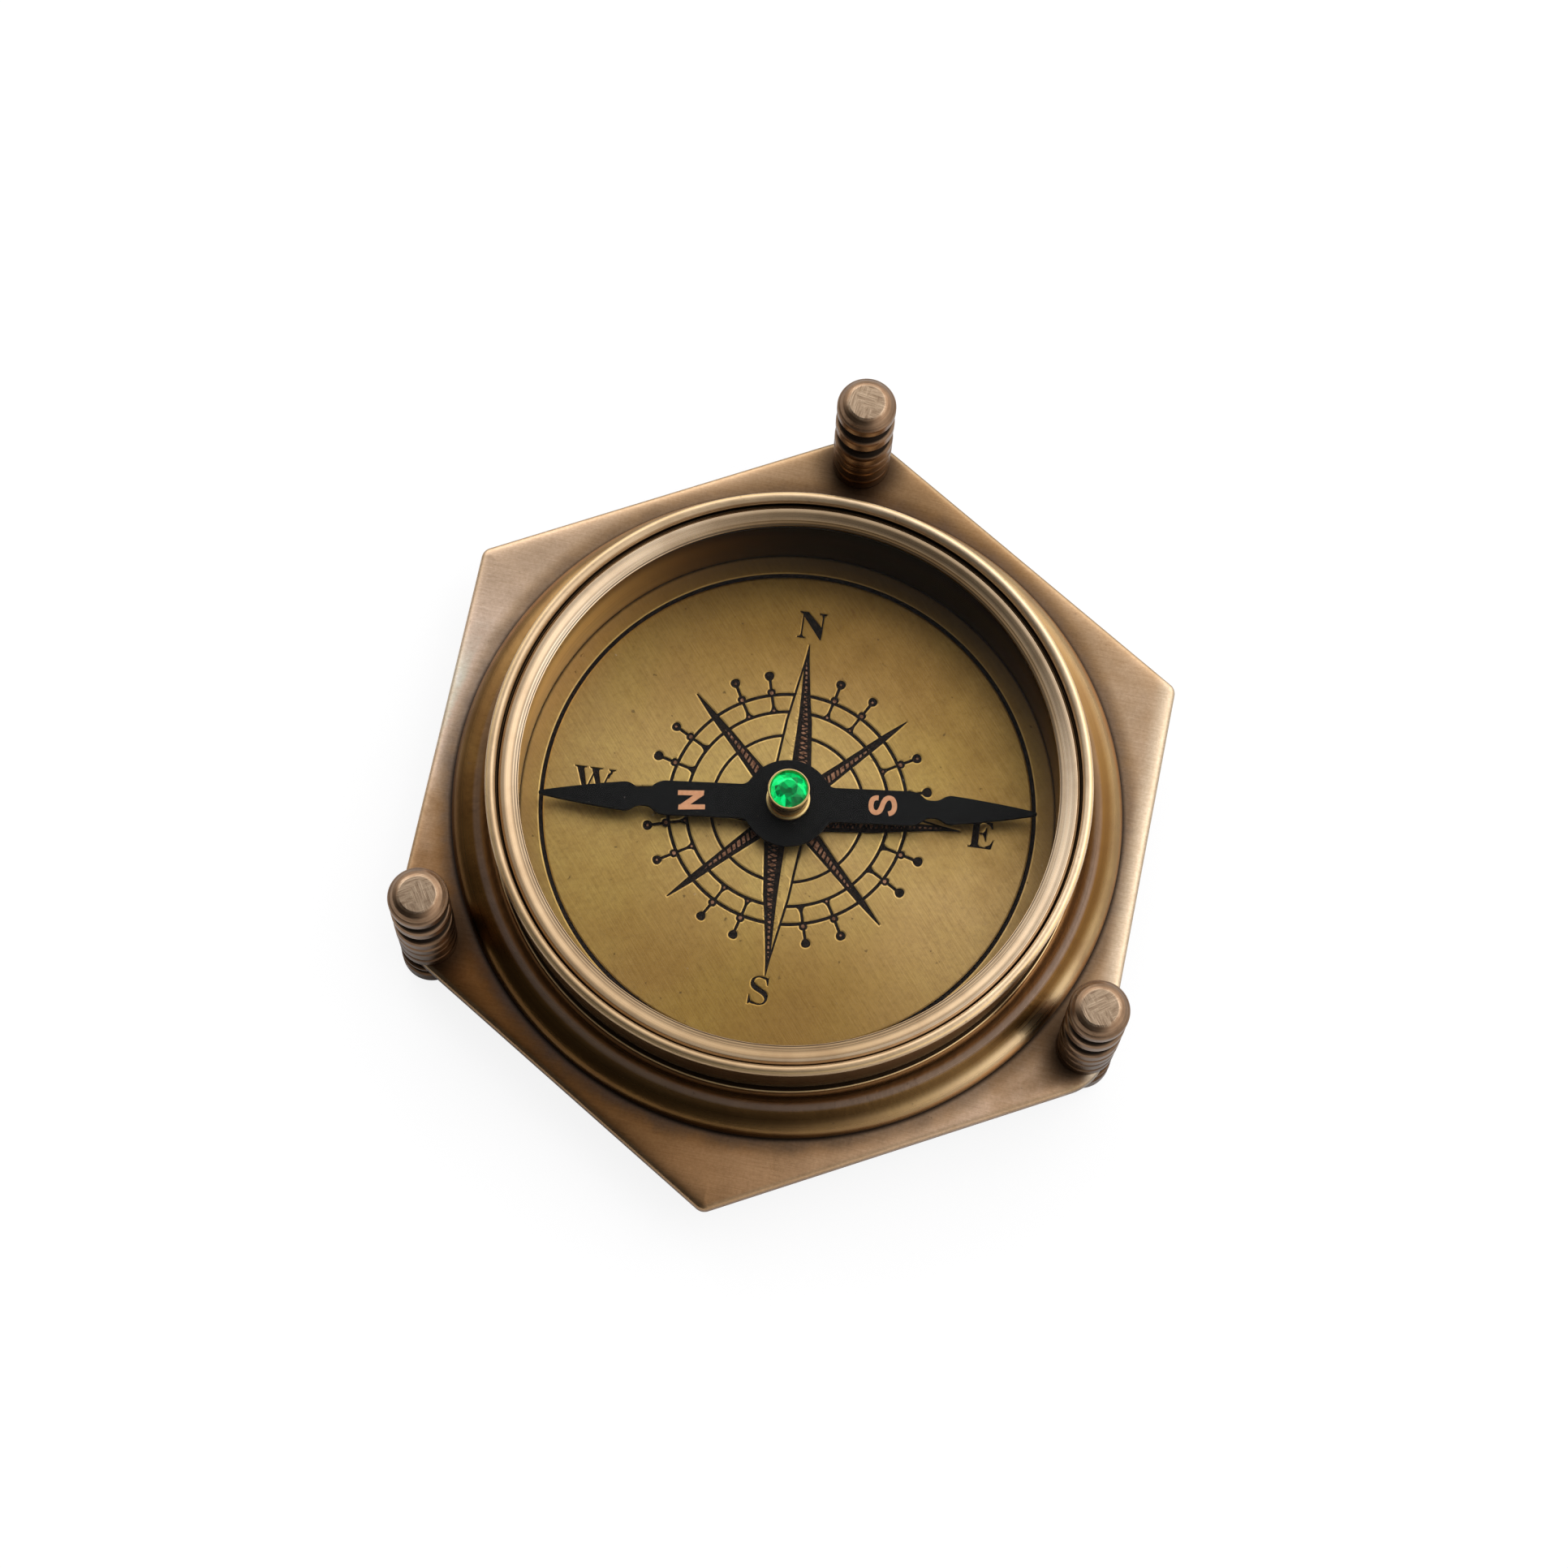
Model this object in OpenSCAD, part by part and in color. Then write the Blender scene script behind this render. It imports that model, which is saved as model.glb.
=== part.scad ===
// Hexagonal brass desk compass: a bowl with a glazed, engraved dial on a six-sided
// plate that stands on three turned posts. The needle turns freely on a pointed pin.
// Origin: on the needle's axis, in the plane the three feet stand on. +Z is up and
// +Y points at post A.

/* [Base plate] */
// Width of the hexagon across its flats
plate_flats = 78; // [76:0.5:84]
// Thickness of the plate
plate_t = 2; // [1.6:0.1:3]
// Radius of the plate's three free corners
plate_corner_r = 1.3; // [1:0.1:3]
// Radius of the three corners under the posts, which hide them
plate_post_corner_r = 6; // [5:0.5:7]
// Width of the eased edge round the top of the plate
plate_ease = 0.5; // [0.2:0.1:0.8]

/* [Posts and feet] */
// Distance from the axis to each post
post_ring_r = 41.2; // [40.8:0.1:41.4]
// Diameter of the turned posts
post_d = 6.4; // [6:0.1:6.6]
// Height of the posts above the plate
post_h = 18; // [16:0.5:22]
// Height of the feet below the plate
foot_h = 5.4; // [5:0.1:8]
// Angle of post A past its corner, as drilled by hand
post_a_clock = 0.1; // [-1:0.1:2]
// Angle of posts B and C past their corners
post_bc_clock = 2.2; // [0:0.1:2.4]
// Diameter of the studs that join posts and feet
stud_d = 3; // [2.5:0.1:3.2]

/* [Bowl] */
// Radius of the bowl's foot on the plate
bowl_foot_r = 36.4; // [35.5:0.1:37]
// Radius of the ledge above the foot moulding
bowl_ledge_r = 32.05; // [32:0.05:32.6]
// Height of the ledge above the plate
bowl_ledge_h = 3.3; // [3:0.1:3.8]
// Outer radius of the wall between the ledge and the rim bead
bowl_wall_r = 31.75; // [31.6:0.05:31.9]
// Height of the centre of the rim bead above the plate
bowl_rim_h = 12; // [11.8:0.1:13]
// Radius of the rim bead's round section
bowl_bead_r = 0.55; // [0.45:0.01:0.6]
// Radius of the circle on which the rim bead's section is centred
bowl_bead_c = 31.7; // [31.65:0.01:31.75]

/* [Dial] */
// Thickness of the dial disc
dial_t = 0.5; // [0.4:0.1:0.8]
// Depth of the engraving
engrave = 0.12; // [0.08:0.02:0.2]
// Width of the engraved lines
line_w = 0.35; // [0.25:0.05:0.4]
// Turn of the dial, from north at post A, anticlockwise
dial_turn = 3.85; // [0:0.05:359]
// Radius of the border line
dial_border_r = 26.8; // [26:0.1:27.5]
// Length of the four main points of the rose
rose_long = 18.8; // [17:0.1:19]
// Length of the four lesser points
rose_short = 16.4; // [14:0.1:17]

/* [Glass and bezel] */
// Radius of the clear opening
window_r = 28.7; // [28:0.1:28.9]
// Thickness of the glass
glass_t = 1.3; // [1:0.1:1.3]
// Rise of the bezel ring's crown above its outer edge
bezel_crown = 0.1; // [0.05:0.01:0.15]
// Drop from the land to the opening
bezel_fall = 0.2; // [0.1:0.01:0.22]

/* [Needle] */
// Length of each arm of the needle, from the axis
needle_len = 26.95; // [24:0.05:27.5]
// Width of the arms
needle_w = 3.85; // [3:0.05:4]
// Thickness of the needle strip
needle_t = 0.4; // [0.3:0.05:0.5]
// Height of the needle's underside above the plate
needle_z = 2.3; // [2:0.1:2.6]
// Turn of the needle's north end from +X, anticlockwise
needle_turn = 189.25; // [0:0.05:359]
// Diameter of the cup that holds the jewel
cup_d = 4.5; // [4.2:0.1:5]

/* [Hidden] */
$fn = 96;
ring_fn = 180;                      // facets of the large rings and discs
over = 1;                           // how far a through cut runs past a face
nudge = 0.01;                       // the same for a shallow cut

plate_top = foot_h + plate_t;
post_r = post_d / 2;
post_angles = [90 + post_a_clock, 210 + post_bc_clock, 330 + post_bc_clock];
stud_r = stud_d / 2;
socket_r = stud_r + 0.05;           // stud holes in the posts and feet

// Radii of the bowl's bores and of what fits in them
bore_r = 30.2;                      // bore of the bowl round the sleeve
seat_r = 31.0;                      // bore of the bowl round the bezel's skirt
lip_r = seat_r + 0.12;              // bore of the open groove inside the rim bead
sleeve_in_r = 29.1;                 // inner wall seen through the glass
sleeve_r = bore_r - 0.05;           // outside of the sleeve and the dial
glass_r = bore_r - 0.1;             // outside of the glass and its gasket
bezel_r = seat_r - 0.05;

// Heights above the plate
seat_z = 9.5;                       // top of the sleeve
gasket_t = 0.2;
glass_z = seat_z + gasket_t;        // underside of the glass
bezel_z = glass_z + glass_t;        // top of the glass
pin_tip_z = 7.5;                    // pin's point
jewel_z = 6.7;                      // underside of the jewel
cup_top_z = 8.05;

screw_ring_r = 33.8;                // ring of the bowl's screws
screw_shank_r = 0.98;
rivet_hole_r = 1.25;                // hole for the pivot base in plate and dial
pin_r = 0.4;
pin_point_h = 0.55;
jewel_r = cup_d / 2 - 0.32;

brass_old = [0.62, 0.50, 0.34];
brass_olive = [0.56, 0.46, 0.26];
brass_bright = [0.80, 0.68, 0.47];
brass_dark = [0.36, 0.28, 0.20];

module raise(z) translate([0, 0, z]) children();
module at_post(i) rotate([0, 0, post_angles[i]]) translate([post_ring_r, 0, 0]) children();
module at_screws(z) for (i = [0:3])
    rotate([0, 0, 45 + 90 * i]) translate([screw_ring_r, 0, z]) children();

// ---- base plate -------------------------------------------------------------
// Hexagon with free corners and post corners in turn
module base_blank() {
    corner_radii = [plate_corner_r, plate_post_corner_r];
    hull() for (i = [0:5]) let (radius = corner_radii[i % 2])
        rotate([0, 0, 30 + 60 * i])
            translate([(plate_flats / 2 - radius) / cos(30), 0, foot_h]) {
                cylinder(r = radius, h = plate_t - plate_ease, $fn = 36);
                cylinder(r = radius - plate_ease, h = plate_t, $fn = 36);
            }
}

// Hole through the plate, countersunk from below; z = 0 is the plate's underside
module sunk_hole(hole_r, sink_r, sink_h) {
    raise(-over) cylinder(r = hole_r, h = plate_t + 2 * over);
    raise(-nudge) cylinder(r1 = sink_r, r2 = hole_r, h = sink_h);
}

module base_plate() color(brass_old) difference() {
    base_blank();
    for (i = [0:2]) at_post(i)
        raise(foot_h - over) cylinder(r = stud_r + 0.1, h = plate_t + 2 * over);
    at_screws(foot_h) sunk_hole(hole_r = 1.05, sink_r = 2.01, sink_h = 0.97);
    raise(foot_h) sunk_hole(hole_r = rivet_hole_r, sink_r = 1.86, sink_h = 0.62);
}

// ---- bowl -------------------------------------------------------------------
oval_c = [33.1, 0.4];               // centre of the foot's quarter oval
oval_h = 2.5;
oval_steps = 10;
neck_r = 31.35;                     // groove between the ledge and the wall
neck_h = 0.9;                       // its upright part
neck_flare_h = 1.2;                 // from the ledge to the full wall
ledge_ease = 0.12;
bezel_seat_z = bezel_z - 0.1;       // top of the bore round the bezel's skirt
// Hollow between the oval and the ledge: [distance outside the ledge, height]
hollow = [[0.6, 2.86], [0.25, 2.81], [0, 2.88]];

module bowl_section() {
    polygon(concat(
        [[bore_r, 0], [bowl_foot_r, 0]],
        [for (k = [0:oval_steps]) let (angle = 90 * k / oval_steps)
            [oval_c[0] + (bowl_foot_r - oval_c[0]) * cos(angle),
             oval_c[1] + oval_h * sin(angle)]],
        [for (p = hollow) [bowl_ledge_r + p[0], p[1]]],
        [[bowl_ledge_r, bowl_ledge_h - ledge_ease],
         [bowl_ledge_r - ledge_ease, bowl_ledge_h],
         [neck_r, bowl_ledge_h],
         [neck_r, bowl_ledge_h + neck_h],
         [bowl_wall_r, bowl_ledge_h + neck_flare_h],
         [bowl_wall_r, bowl_rim_h],
         [lip_r, bowl_rim_h],
         [lip_r, bezel_seat_z],
         [seat_r, bezel_seat_z],
         [seat_r, glass_z],
         [bore_r, glass_z]]));
    translate([bowl_bead_c, bowl_rim_h]) circle(r = bowl_bead_r, $fn = 40);
}

module bowl() color(brass_olive) difference() {
    raise(plate_top) rotate_extrude($fn = ring_fn) bowl_section();
    at_screws(plate_top - over) cylinder(r = 0.85, h = over + 2.1);
}

// ---- dial -------------------------------------------------------------------
// All artwork below is drawn with north along +Y and cut from the dial's face.
rose_rings = [8.25, 11.0, 13.0];    // radii of the lines round the rose
meet = 2.28;                        // x and y where neighbouring main points meet
dot_y = 15.3;                       // centre of the dot at the end of a stem
plain_r = 2.9;                      // centre of the dial left unengraved

module ring_line(radius, width = line_w, facets = ring_fn) difference() {
    circle(r = radius + width / 2, $fn = facets);
    circle(r = radius - width / 2, $fn = facets);
}

// Dark half of a main point
module point_dark() polygon([[0, rose_long], [meet, meet], [0, 0]]);

// Open outline of its light half
module point_light() difference() {
    polygon([[0, rose_long], [-meet, meet], [0, 0]]);
    polygon([[0, rose_long - 2.9], [-meet + 0.32, meet + 0.15], [0, 0.5]]);
}

module point_lesser() intersection() {
    polygon([[0, rose_short], [0.95, 4.2], [0, 2.4], [-0.95, 4.2]]);
    difference() {
        circle(r = rose_short + 1);
        circle(r = 3.2);
    }
}

// Dot on a stem that stands on the second ring and passes a bead on the third
module dot_stem() {
    foot_y = rose_rings[1];
    stem_y = foot_y + 0.2;
    stem_w = 0.26;
    translate([0, dot_y]) circle(r = 0.52, $fn = 32);
    translate([-stem_w / 2, stem_y]) square([stem_w, dot_y - stem_y]);
    translate([0, rose_rings[2] + 0.25]) circle(r = 0.46, $fn = 32);
    polygon([[-0.62, foot_y], [0.62, foot_y], [0.2, foot_y + 0.75], [-0.2, foot_y + 0.75]]);
}

// Letters are 3 high. N, E and W are drawn from the lower left, then centred.
// strokes: one outline each; bars: [x, y, width, height] each
module glyph(strokes, bars = []) {
    for (stroke = strokes) polygon(stroke);
    for (bar = bars) translate([bar[0], bar[1]]) square([bar[2], bar[3]]);
}

module letter_n() translate([-1.5, -1.5]) glyph(
    strokes = [
        [[0.3, 0], [0.55, 0], [0.55, 2.5], [0.3, 2.7]],
        [[2.45, 0], [2.7, 0], [2.7, 3], [2.45, 3]],
        [[0.1, 3], [0.95, 3], [2.7, 0.8], [2.7, 0], [2.45, 0], [0.3, 2.7]]],
    bars = [[0, 0, 0.9, 0.16], [2.15, 2.84, 0.9, 0.16], [-0.05, 2.84, 0.6, 0.16]]);

module letter_e() translate([-1.25, -1.5]) glyph(
    strokes = [
        [[1.6, 0.9], [1.72, 0.9], [1.72, 2.1], [1.6, 2.1], [1.4, 1.5]],
        [[2, 0.1], [2.4, 0.1], [2.55, 0.95], [2.42, 0.95]],
        [[2, 2.9], [2.3, 2.9], [2.36, 2.2], [2.24, 2.2]]],
    bars = [[0.35, 0, 0.7, 3], [0, 0, 2.4, 0.18], [0, 2.82, 2.3, 0.18],
            [0.9, 1.42, 0.8, 0.16]]);

module letter_w() translate([-2.1, -1.5]) {
    for (x = [0, 1.55]) translate([x, 0]) glyph(
        strokes = [
            [[0.25, 3], [0.95, 3], [1.75, 0], [1.35, 0]],
            [[1.45, 0], [1.62, 0], [2.4, 3], [2.2, 3]]],
        bars = [[0, 2.84, 1.2, 0.16]]);
    translate([3.4, 2.84]) square([0.85, 0.16]);
}

// Part of a ring between two angles
module arc_band(radius, width, start, end) intersection() {
    ring_line(radius, width, facets = 48);
    polygon(concat([[0, 0]],
        [for (k = [0:6]) let (angle = start + (end - start) * k / 6)
            2 * radius * [cos(angle), sin(angle)]]));
}

module letter_s() {
    translate([0.02, 0.72]) arc_band(radius = 0.68, width = 0.24, start = 25, end = 190);
    translate([-0.02, -0.74]) arc_band(radius = 0.7, width = 0.26, start = 205, end = 370);
    glyph(strokes = [
        [[-0.9, 0.85], [-0.55, 0.95], [-0.35, 0.5], [0.8, -0.25], [0.8, -0.85],
         [0.5, -0.9], [0.3, -0.55], [-0.85, 0.25]],
        [[0.5, 1.05], [0.72, 1.5], [0.8, 1.5], [0.8, 0.7], [0.72, 0.7]],
        [[-0.55, -1.05], [-0.85, -1.5], [-0.95, -1.5], [-0.95, -0.65], [-0.85, -0.65]]]);
}

module dial_art() {
    ring_line(dial_border_r, 1.3 * line_w);
    for (radius = rose_rings) ring_line(radius);
    for (k = [0:3]) rotate(90 * k) {
        point_dark();
        point_light();
        rotate(45) point_lesser();
    }
    // two stems between each pair of points
    for (k = [0:7]) for (step = [15, 30]) rotate(45 * k + step) dot_stem();
    translate([-0.15, 21.1]) letter_n();
    translate([21.3, 0]) letter_e();
    translate([-0.3, -20.5]) letter_s();
    translate([-21.2, 0.15]) letter_w();
}

module dial() color(brass_olive) raise(plate_top) rotate([0, 0, dial_turn]) difference() {
    cylinder(r = sleeve_r, h = dial_t, $fn = ring_fn);
    raise(-over) cylinder(r = rivet_hole_r, h = 3);
    difference() {
        raise(dial_t - engrave) linear_extrude(1) dial_art();
        cylinder(r = plain_r, h = 3);
    }
}

// ---- sleeve, gasket, glass, bezel -------------------------------------------
module washer(inner_r, outer_r, z, h) raise(z) difference() {
    cylinder(r = outer_r, h = h, $fn = ring_fn);
    raise(-over) cylinder(r = inner_r, h = h + 2 * over, $fn = ring_fn);
}

module spacer_ring() color(brass_dark)
    washer(sleeve_in_r, sleeve_r, z = plate_top + dial_t, h = seat_z - dial_t);

module glass_gasket() color([0.12, 0.11, 0.1])
    washer(sleeve_in_r, glass_r, z = plate_top + seat_z, h = gasket_t);

module glass() color([0.85, 0.92, 0.92, 0.3])
    raise(plate_top + glass_z) cylinder(r = glass_r, h = glass_t, $fn = ring_fn);

skirt_z = glass_z + 0.05;           // bottom of the bezel's skirt
rim_r = bezel_r - 0.07;             // bezel above the skirt
crown_out_r = bezel_r - 0.17;       // outer end of the bezel's top curve
crown_in_r = window_r + 0.6;        // inner end
crown_steps = 14;

// Smooth step from 0 to 1
function eased(t) = t * t * (3 - 2 * t);
// Bezel's height at a share of the way inwards: a rise, a flat land, then a fall
function crown_z(share) = bezel_z + 0.32
    + bezel_crown * eased(min(1, share / 0.14))
    - bezel_fall * eased(max(0, (share - 0.3) / 0.7));

module bezel_ring() color(brass_bright) raise(plate_top) rotate_extrude($fn = ring_fn)
    polygon(concat(
        [[window_r, bezel_z], [bore_r, bezel_z], [bore_r, skirt_z], [bezel_r, skirt_z],
         [bezel_r, bezel_z - 0.2], [rim_r, bezel_z - 0.15],
         [rim_r, bezel_z + 0.22], [rim_r - 0.03, bezel_z + 0.28]],
        [for (k = [0:crown_steps]) let (share = k / crown_steps)
            [crown_out_r + (crown_in_r - crown_out_r) * share, crown_z(share)]],
        [[window_r + 0.1, bezel_z + 0.2], [window_r, bezel_z + 0.12]]));

// ---- pivot ------------------------------------------------------------------
rivet_r = 1.2;
collar_h = 0.5;
pin_depth = 1.1;                    // pin's reach below the plate's top

module pivot_base() color(brass_bright) difference() {
    union() {
        raise(foot_h + 0.05) cylinder(r1 = 1.8, r2 = rivet_r, h = 0.6);
        raise(foot_h + 0.3) cylinder(r = rivet_r, h = plate_t + dial_t);
        raise(plate_top + dial_t) cylinder(r = 2.4, h = collar_h);
        raise(plate_top + dial_t + collar_h) cylinder(r1 = 1.5, r2 = 0.9, h = 0.7);
    }
    raise(plate_top - pin_depth - 0.1) cylinder(r = pin_r + 0.02, h = 6);
}

module pivot_pin() color([0.7, 0.72, 0.74]) {
    raise(plate_top - pin_depth) cylinder(r = pin_r, h = pin_tip_z - pin_point_h + pin_depth);
    raise(plate_top + pin_tip_z - pin_point_h)
        cylinder(r1 = pin_r, r2 = 0.05, h = pin_point_h);
}

// ---- needle -----------------------------------------------------------------
// One edge of a spear-pointed arm along +X: [distance from the axis, half width as
// a share of the arm's width]
arm_profile = [[13.6, 0.5], [14.2, 0.46], [14.75, 0.34], [15.3, 0.27], [16, 0.26],
               [16.6, 0.31], [17.2, 0.4], [17.8, 0.43], [22.4, 0.26]];
arm_edge = concat([for (p = arm_profile) [p[0], p[1] * needle_w]],
    [[needle_len - 0.25, 0.22], [needle_len, 0.08]]);
arm_outline = concat(arm_edge,
    [for (i = [len(arm_edge) - 1:-1:0]) [arm_edge[i][0], -arm_edge[i][1]]]);
cup_neck_r = 1.4;                   // part of the cup that passes the needle

module needle() color([0.13, 0.13, 0.14])
    raise(plate_top + needle_z) rotate([0, 0, needle_turn]) difference() {
        union() {
            cylinder(r = 4.85, h = needle_t);
            linear_extrude(needle_t)
                polygon(concat(arm_outline, [for (p = arm_outline) -p]));
        }
        raise(-over) cylinder(r = cup_neck_r + 0.05, h = 3);
    }

module needle_cup() color(brass_bright) raise(plate_top) difference() {
    needle_top = needle_z + needle_t;
    cup_z = needle_top + 1.7;
    cup_r = cup_d / 2;
    union() {
        raise(needle_z - 0.3) cylinder(r = 1.9, h = 0.28);
        raise(needle_z - 0.1) cylinder(r = cup_neck_r, h = needle_t + 0.3);
        raise(needle_top + 0.02) cylinder(r = 1.95, h = 1.3);
        raise(needle_top + 1.3) cylinder(r = cup_r + 0.15, h = 0.45);
        raise(cup_z) cylinder(r1 = cup_r - 0.15, r2 = cup_r, h = cup_top_z - cup_z);
    }
    raise(1) cylinder(r = 0.9, h = 8);
    raise(jewel_z - 0.02) cylinder(r = jewel_r + 0.02, h = 3);
}

module jewel() color([0.05, 0.7, 0.35]) raise(plate_top) difference() {
    girdle_h = 1.1;
    hole_r = pin_r + 0.05;
    hole_top_z = pin_tip_z - 0.5;
    union() {
        raise(jewel_z) cylinder(r = jewel_r, h = girdle_h);
        raise(jewel_z + girdle_h) cylinder(r1 = jewel_r, r2 = jewel_r * 0.58, h = 0.62);
    }
    raise(jewel_z - over) cylinder(r = hole_r, h = hole_top_z - jewel_z + over);
    raise(hole_top_z - nudge) cylinder(r1 = hole_r, r2 = 0.06, h = 0.56);
}

// ---- posts and feet ---------------------------------------------------------
// Turned sections from the bottom up, in two parts each: [inset from the post's
// radius, height above the bottom], then [inset, drop below the top]
post_lower = [
    [0.15, 0], [0.05, 0.15], [0.05, 1.55], [0.2, 1.75], [0.35, 1.95], [0.2, 2.15],
    [0.05, 2.35], [0.05, 4.1], [0.2, 4.3], [0.35, 4.5], [0.2, 4.7], [0, 4.9],
    [0, 6.3], [0.2, 6.5], [0.35, 6.65], [0.2, 6.8], [0, 7], [0, 8.5],
    [0.2, 8.8], [0.75, 9.1], [0.75, 10.9], [0.2, 11.25], [0, 11.5], [0, 12.9],
    [0.2, 13.2], [0.75, 13.5]];
post_upper = [
    [0.75, 2.85], [0.2, 2.55], [0, 2.3], [0, 1.15], [0.12, 0.95], [0.38, 0.8],
    [0.46, 0.84], [0.55, 0.66], [0.72, 0.36], [0.95, 0.12], [1.15, 0]];
foot_pad_r = 2.1;                   // flat that stands on the table
foot_lower = [[post_r - foot_pad_r, 0], [0.6, 0.12], [0.25, 0.4], [0.06, 0.8], [0, 1.3]];
foot_upper = [
    [0, 2.2], [0.15, 1.95], [0.7, 1.75], [0.7, 0.85], [0.15, 0.65], [0.05, 0.5],
    [0.05, 0.1], [0.15, 0]];
socket_top = 7.2;                   // stud hole's depth in a post
socket_floor = 0.9;                 // bottom of the stud hole in a foot
stud_gap = [0.2, 0.3];              // space below and above a stud

module turned(lower, upper, h) rotate_extrude($fn = 72) polygon(concat(
    [[0, 0]],
    [for (p = lower) [post_r - p[0], p[1]]],
    [for (p = upper) [post_r - p[0], h - p[1]]],
    [[0, h]]));

module post(i) color(brass_dark) at_post(i) raise(plate_top) difference() {
    turned(post_lower, post_upper, post_h);
    raise(-over) cylinder(r = socket_r, h = over + socket_top);
}

module foot(i) color(brass_dark) at_post(i) difference() {
    turned(foot_lower, foot_upper, foot_h);
    raise(socket_floor) cylinder(r = socket_r, h = foot_h);
}

module post_a() post(0);
module post_b() post(1);
module post_c() post(2);
module foot_a() foot(0);
module foot_b() foot(1);
module foot_c() foot(2);

// ---- fasteners --------------------------------------------------------------
module post_studs() color([0.6, 0.6, 0.62]) {
    stud_z = socket_floor + stud_gap[0];
    for (i = [0:2]) at_post(i) raise(stud_z)
        cylinder(r = stud_r, h = plate_top + socket_top - stud_gap[1] - stud_z);
}

// Countersunk screws, slotted from below
module bowl_screws() color([0.66, 0.55, 0.36]) at_screws(foot_h) difference() {
    slot_w = 0.44;
    union() {
        raise(0.08) cylinder(r1 = 1.85, r2 = screw_shank_r, h = 0.87);
        raise(0.5) cylinder(r = screw_shank_r, h = plate_t - 0.55);
        raise(plate_t - 0.06) cylinder(r = 0.8, h = 2);
    }
    translate([-3, -slot_w / 2, -nudge]) cube([6, slot_w, 0.5]);
}

base_plate();
bowl();
dial();
spacer_ring();
glass_gasket();
glass();
bezel_ring();
pivot_base();
pivot_pin();
needle();
needle_cup();
jewel();
post_a();
post_b();
post_c();
foot_a();
foot_b();
foot_c();
post_studs();
bowl_screws();
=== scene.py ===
"""A brass compass on a white table, built over its CAD pieces.

A hexagonal plate stands on three feet and carries three posts. On it sits a round bowl with
an engraved dial, a black needle with a green stone, and a glass held by a bezel. The compass
axis is +Z through the origin and the table is z = 0. The camera looks down from -Y.
Shapes are given in millimetres and scaled by MM when they become meshes.
"""
import math
import random
from functools import cached_property
from math import pi

import bmesh
import bpy
from mathutils import Matrix, Vector
from mathutils.geometry import delaunay_2d_cdt

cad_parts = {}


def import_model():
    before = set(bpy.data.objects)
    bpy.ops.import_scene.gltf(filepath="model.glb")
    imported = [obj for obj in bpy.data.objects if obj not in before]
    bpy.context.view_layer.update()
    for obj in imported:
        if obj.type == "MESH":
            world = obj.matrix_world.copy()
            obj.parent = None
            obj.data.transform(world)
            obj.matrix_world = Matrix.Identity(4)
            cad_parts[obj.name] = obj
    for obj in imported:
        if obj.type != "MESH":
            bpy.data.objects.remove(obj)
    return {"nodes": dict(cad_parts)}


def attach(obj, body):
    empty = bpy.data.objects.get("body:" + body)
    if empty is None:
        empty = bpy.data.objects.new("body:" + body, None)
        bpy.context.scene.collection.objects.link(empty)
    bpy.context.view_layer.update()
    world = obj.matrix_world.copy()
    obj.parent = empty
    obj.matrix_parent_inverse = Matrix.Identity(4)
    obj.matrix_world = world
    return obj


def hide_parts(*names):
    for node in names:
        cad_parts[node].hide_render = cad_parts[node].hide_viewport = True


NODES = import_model()["nodes"]
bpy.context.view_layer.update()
CASE, SPIN = "case", "needle_body"      # the still body and the one that turns
MM = 0.001

# ---- driving dimensions, mm --------------------------------------------------------
FOOT_H, PLATE_T = 5.4, 2.0
PLATE_TOP = FOOT_H + PLATE_T
FLAT_R = 39.0                           # axis to a flat of the hexagon
CORNER_R = (1.3, 6.0)                   # free corners and post corners in turn
POST_RING_R, POST_R, POST_H = 41.2, 3.2, 18.0
POST_ANGLES = [math.radians(a) for a in (90.1, 212.2, 332.2)]
POST_CENTRES = [(POST_RING_R * math.cos(a), POST_RING_R * math.sin(a)) for a in POST_ANGLES]
DIAL_T, DIAL_R = 0.5, 30.15
DIAL_TURN = math.radians(3.85)
PIVOT_HOLE_R = 1.25
NEEDLE_TURN = math.radians(189.25)
NEEDLE_LOW, NEEDLE_T = PLATE_TOP + 2.3, 0.4
NEEDLE_TOP = NEEDLE_LOW + NEEDLE_T
WINDOW_R, GLASS_R = 29.1, 30.1          # bore of sleeve and gasket, rim of the glass
SLEEVE_TOP, GLASS_LOW, GLASS_TOP = 9.5, 9.7, 11.0       # above the plate
VIEW_TURN = 11.6                        # degrees from +X round to the camera's right


# ---- mesh helpers ------------------------------------------------------------------
def add(name, verts, faces, mats, body, slot, node=None, at=(0, 0), turn=0.0, sharp=32,
        face_mats=None, smooth=True):
    mesh = bpy.data.meshes.new(name)
    mesh.from_pydata([(x * MM, y * MM, z * MM) for x, y, z in verts], [], faces)
    mesh.update()
    ob = bpy.data.objects.new(name, mesh)
    bpy.context.scene.collection.objects.link(ob)
    ob.location = (at[0] * MM, at[1] * MM, 0)
    ob.rotation_euler = (0, 0, turn)
    for mat in mats if isinstance(mats, list) else [mats]:
        mesh.materials.append(mat)
    if face_mats is not None:
        mesh.polygons.foreach_set("material_index", face_mats)
    if smooth:
        mesh.shade_smooth()
        mesh.set_sharp_from_angle(angle=math.radians(sharp))
    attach(ob, body)
    if node:
        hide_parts(node)
    return ob


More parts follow.
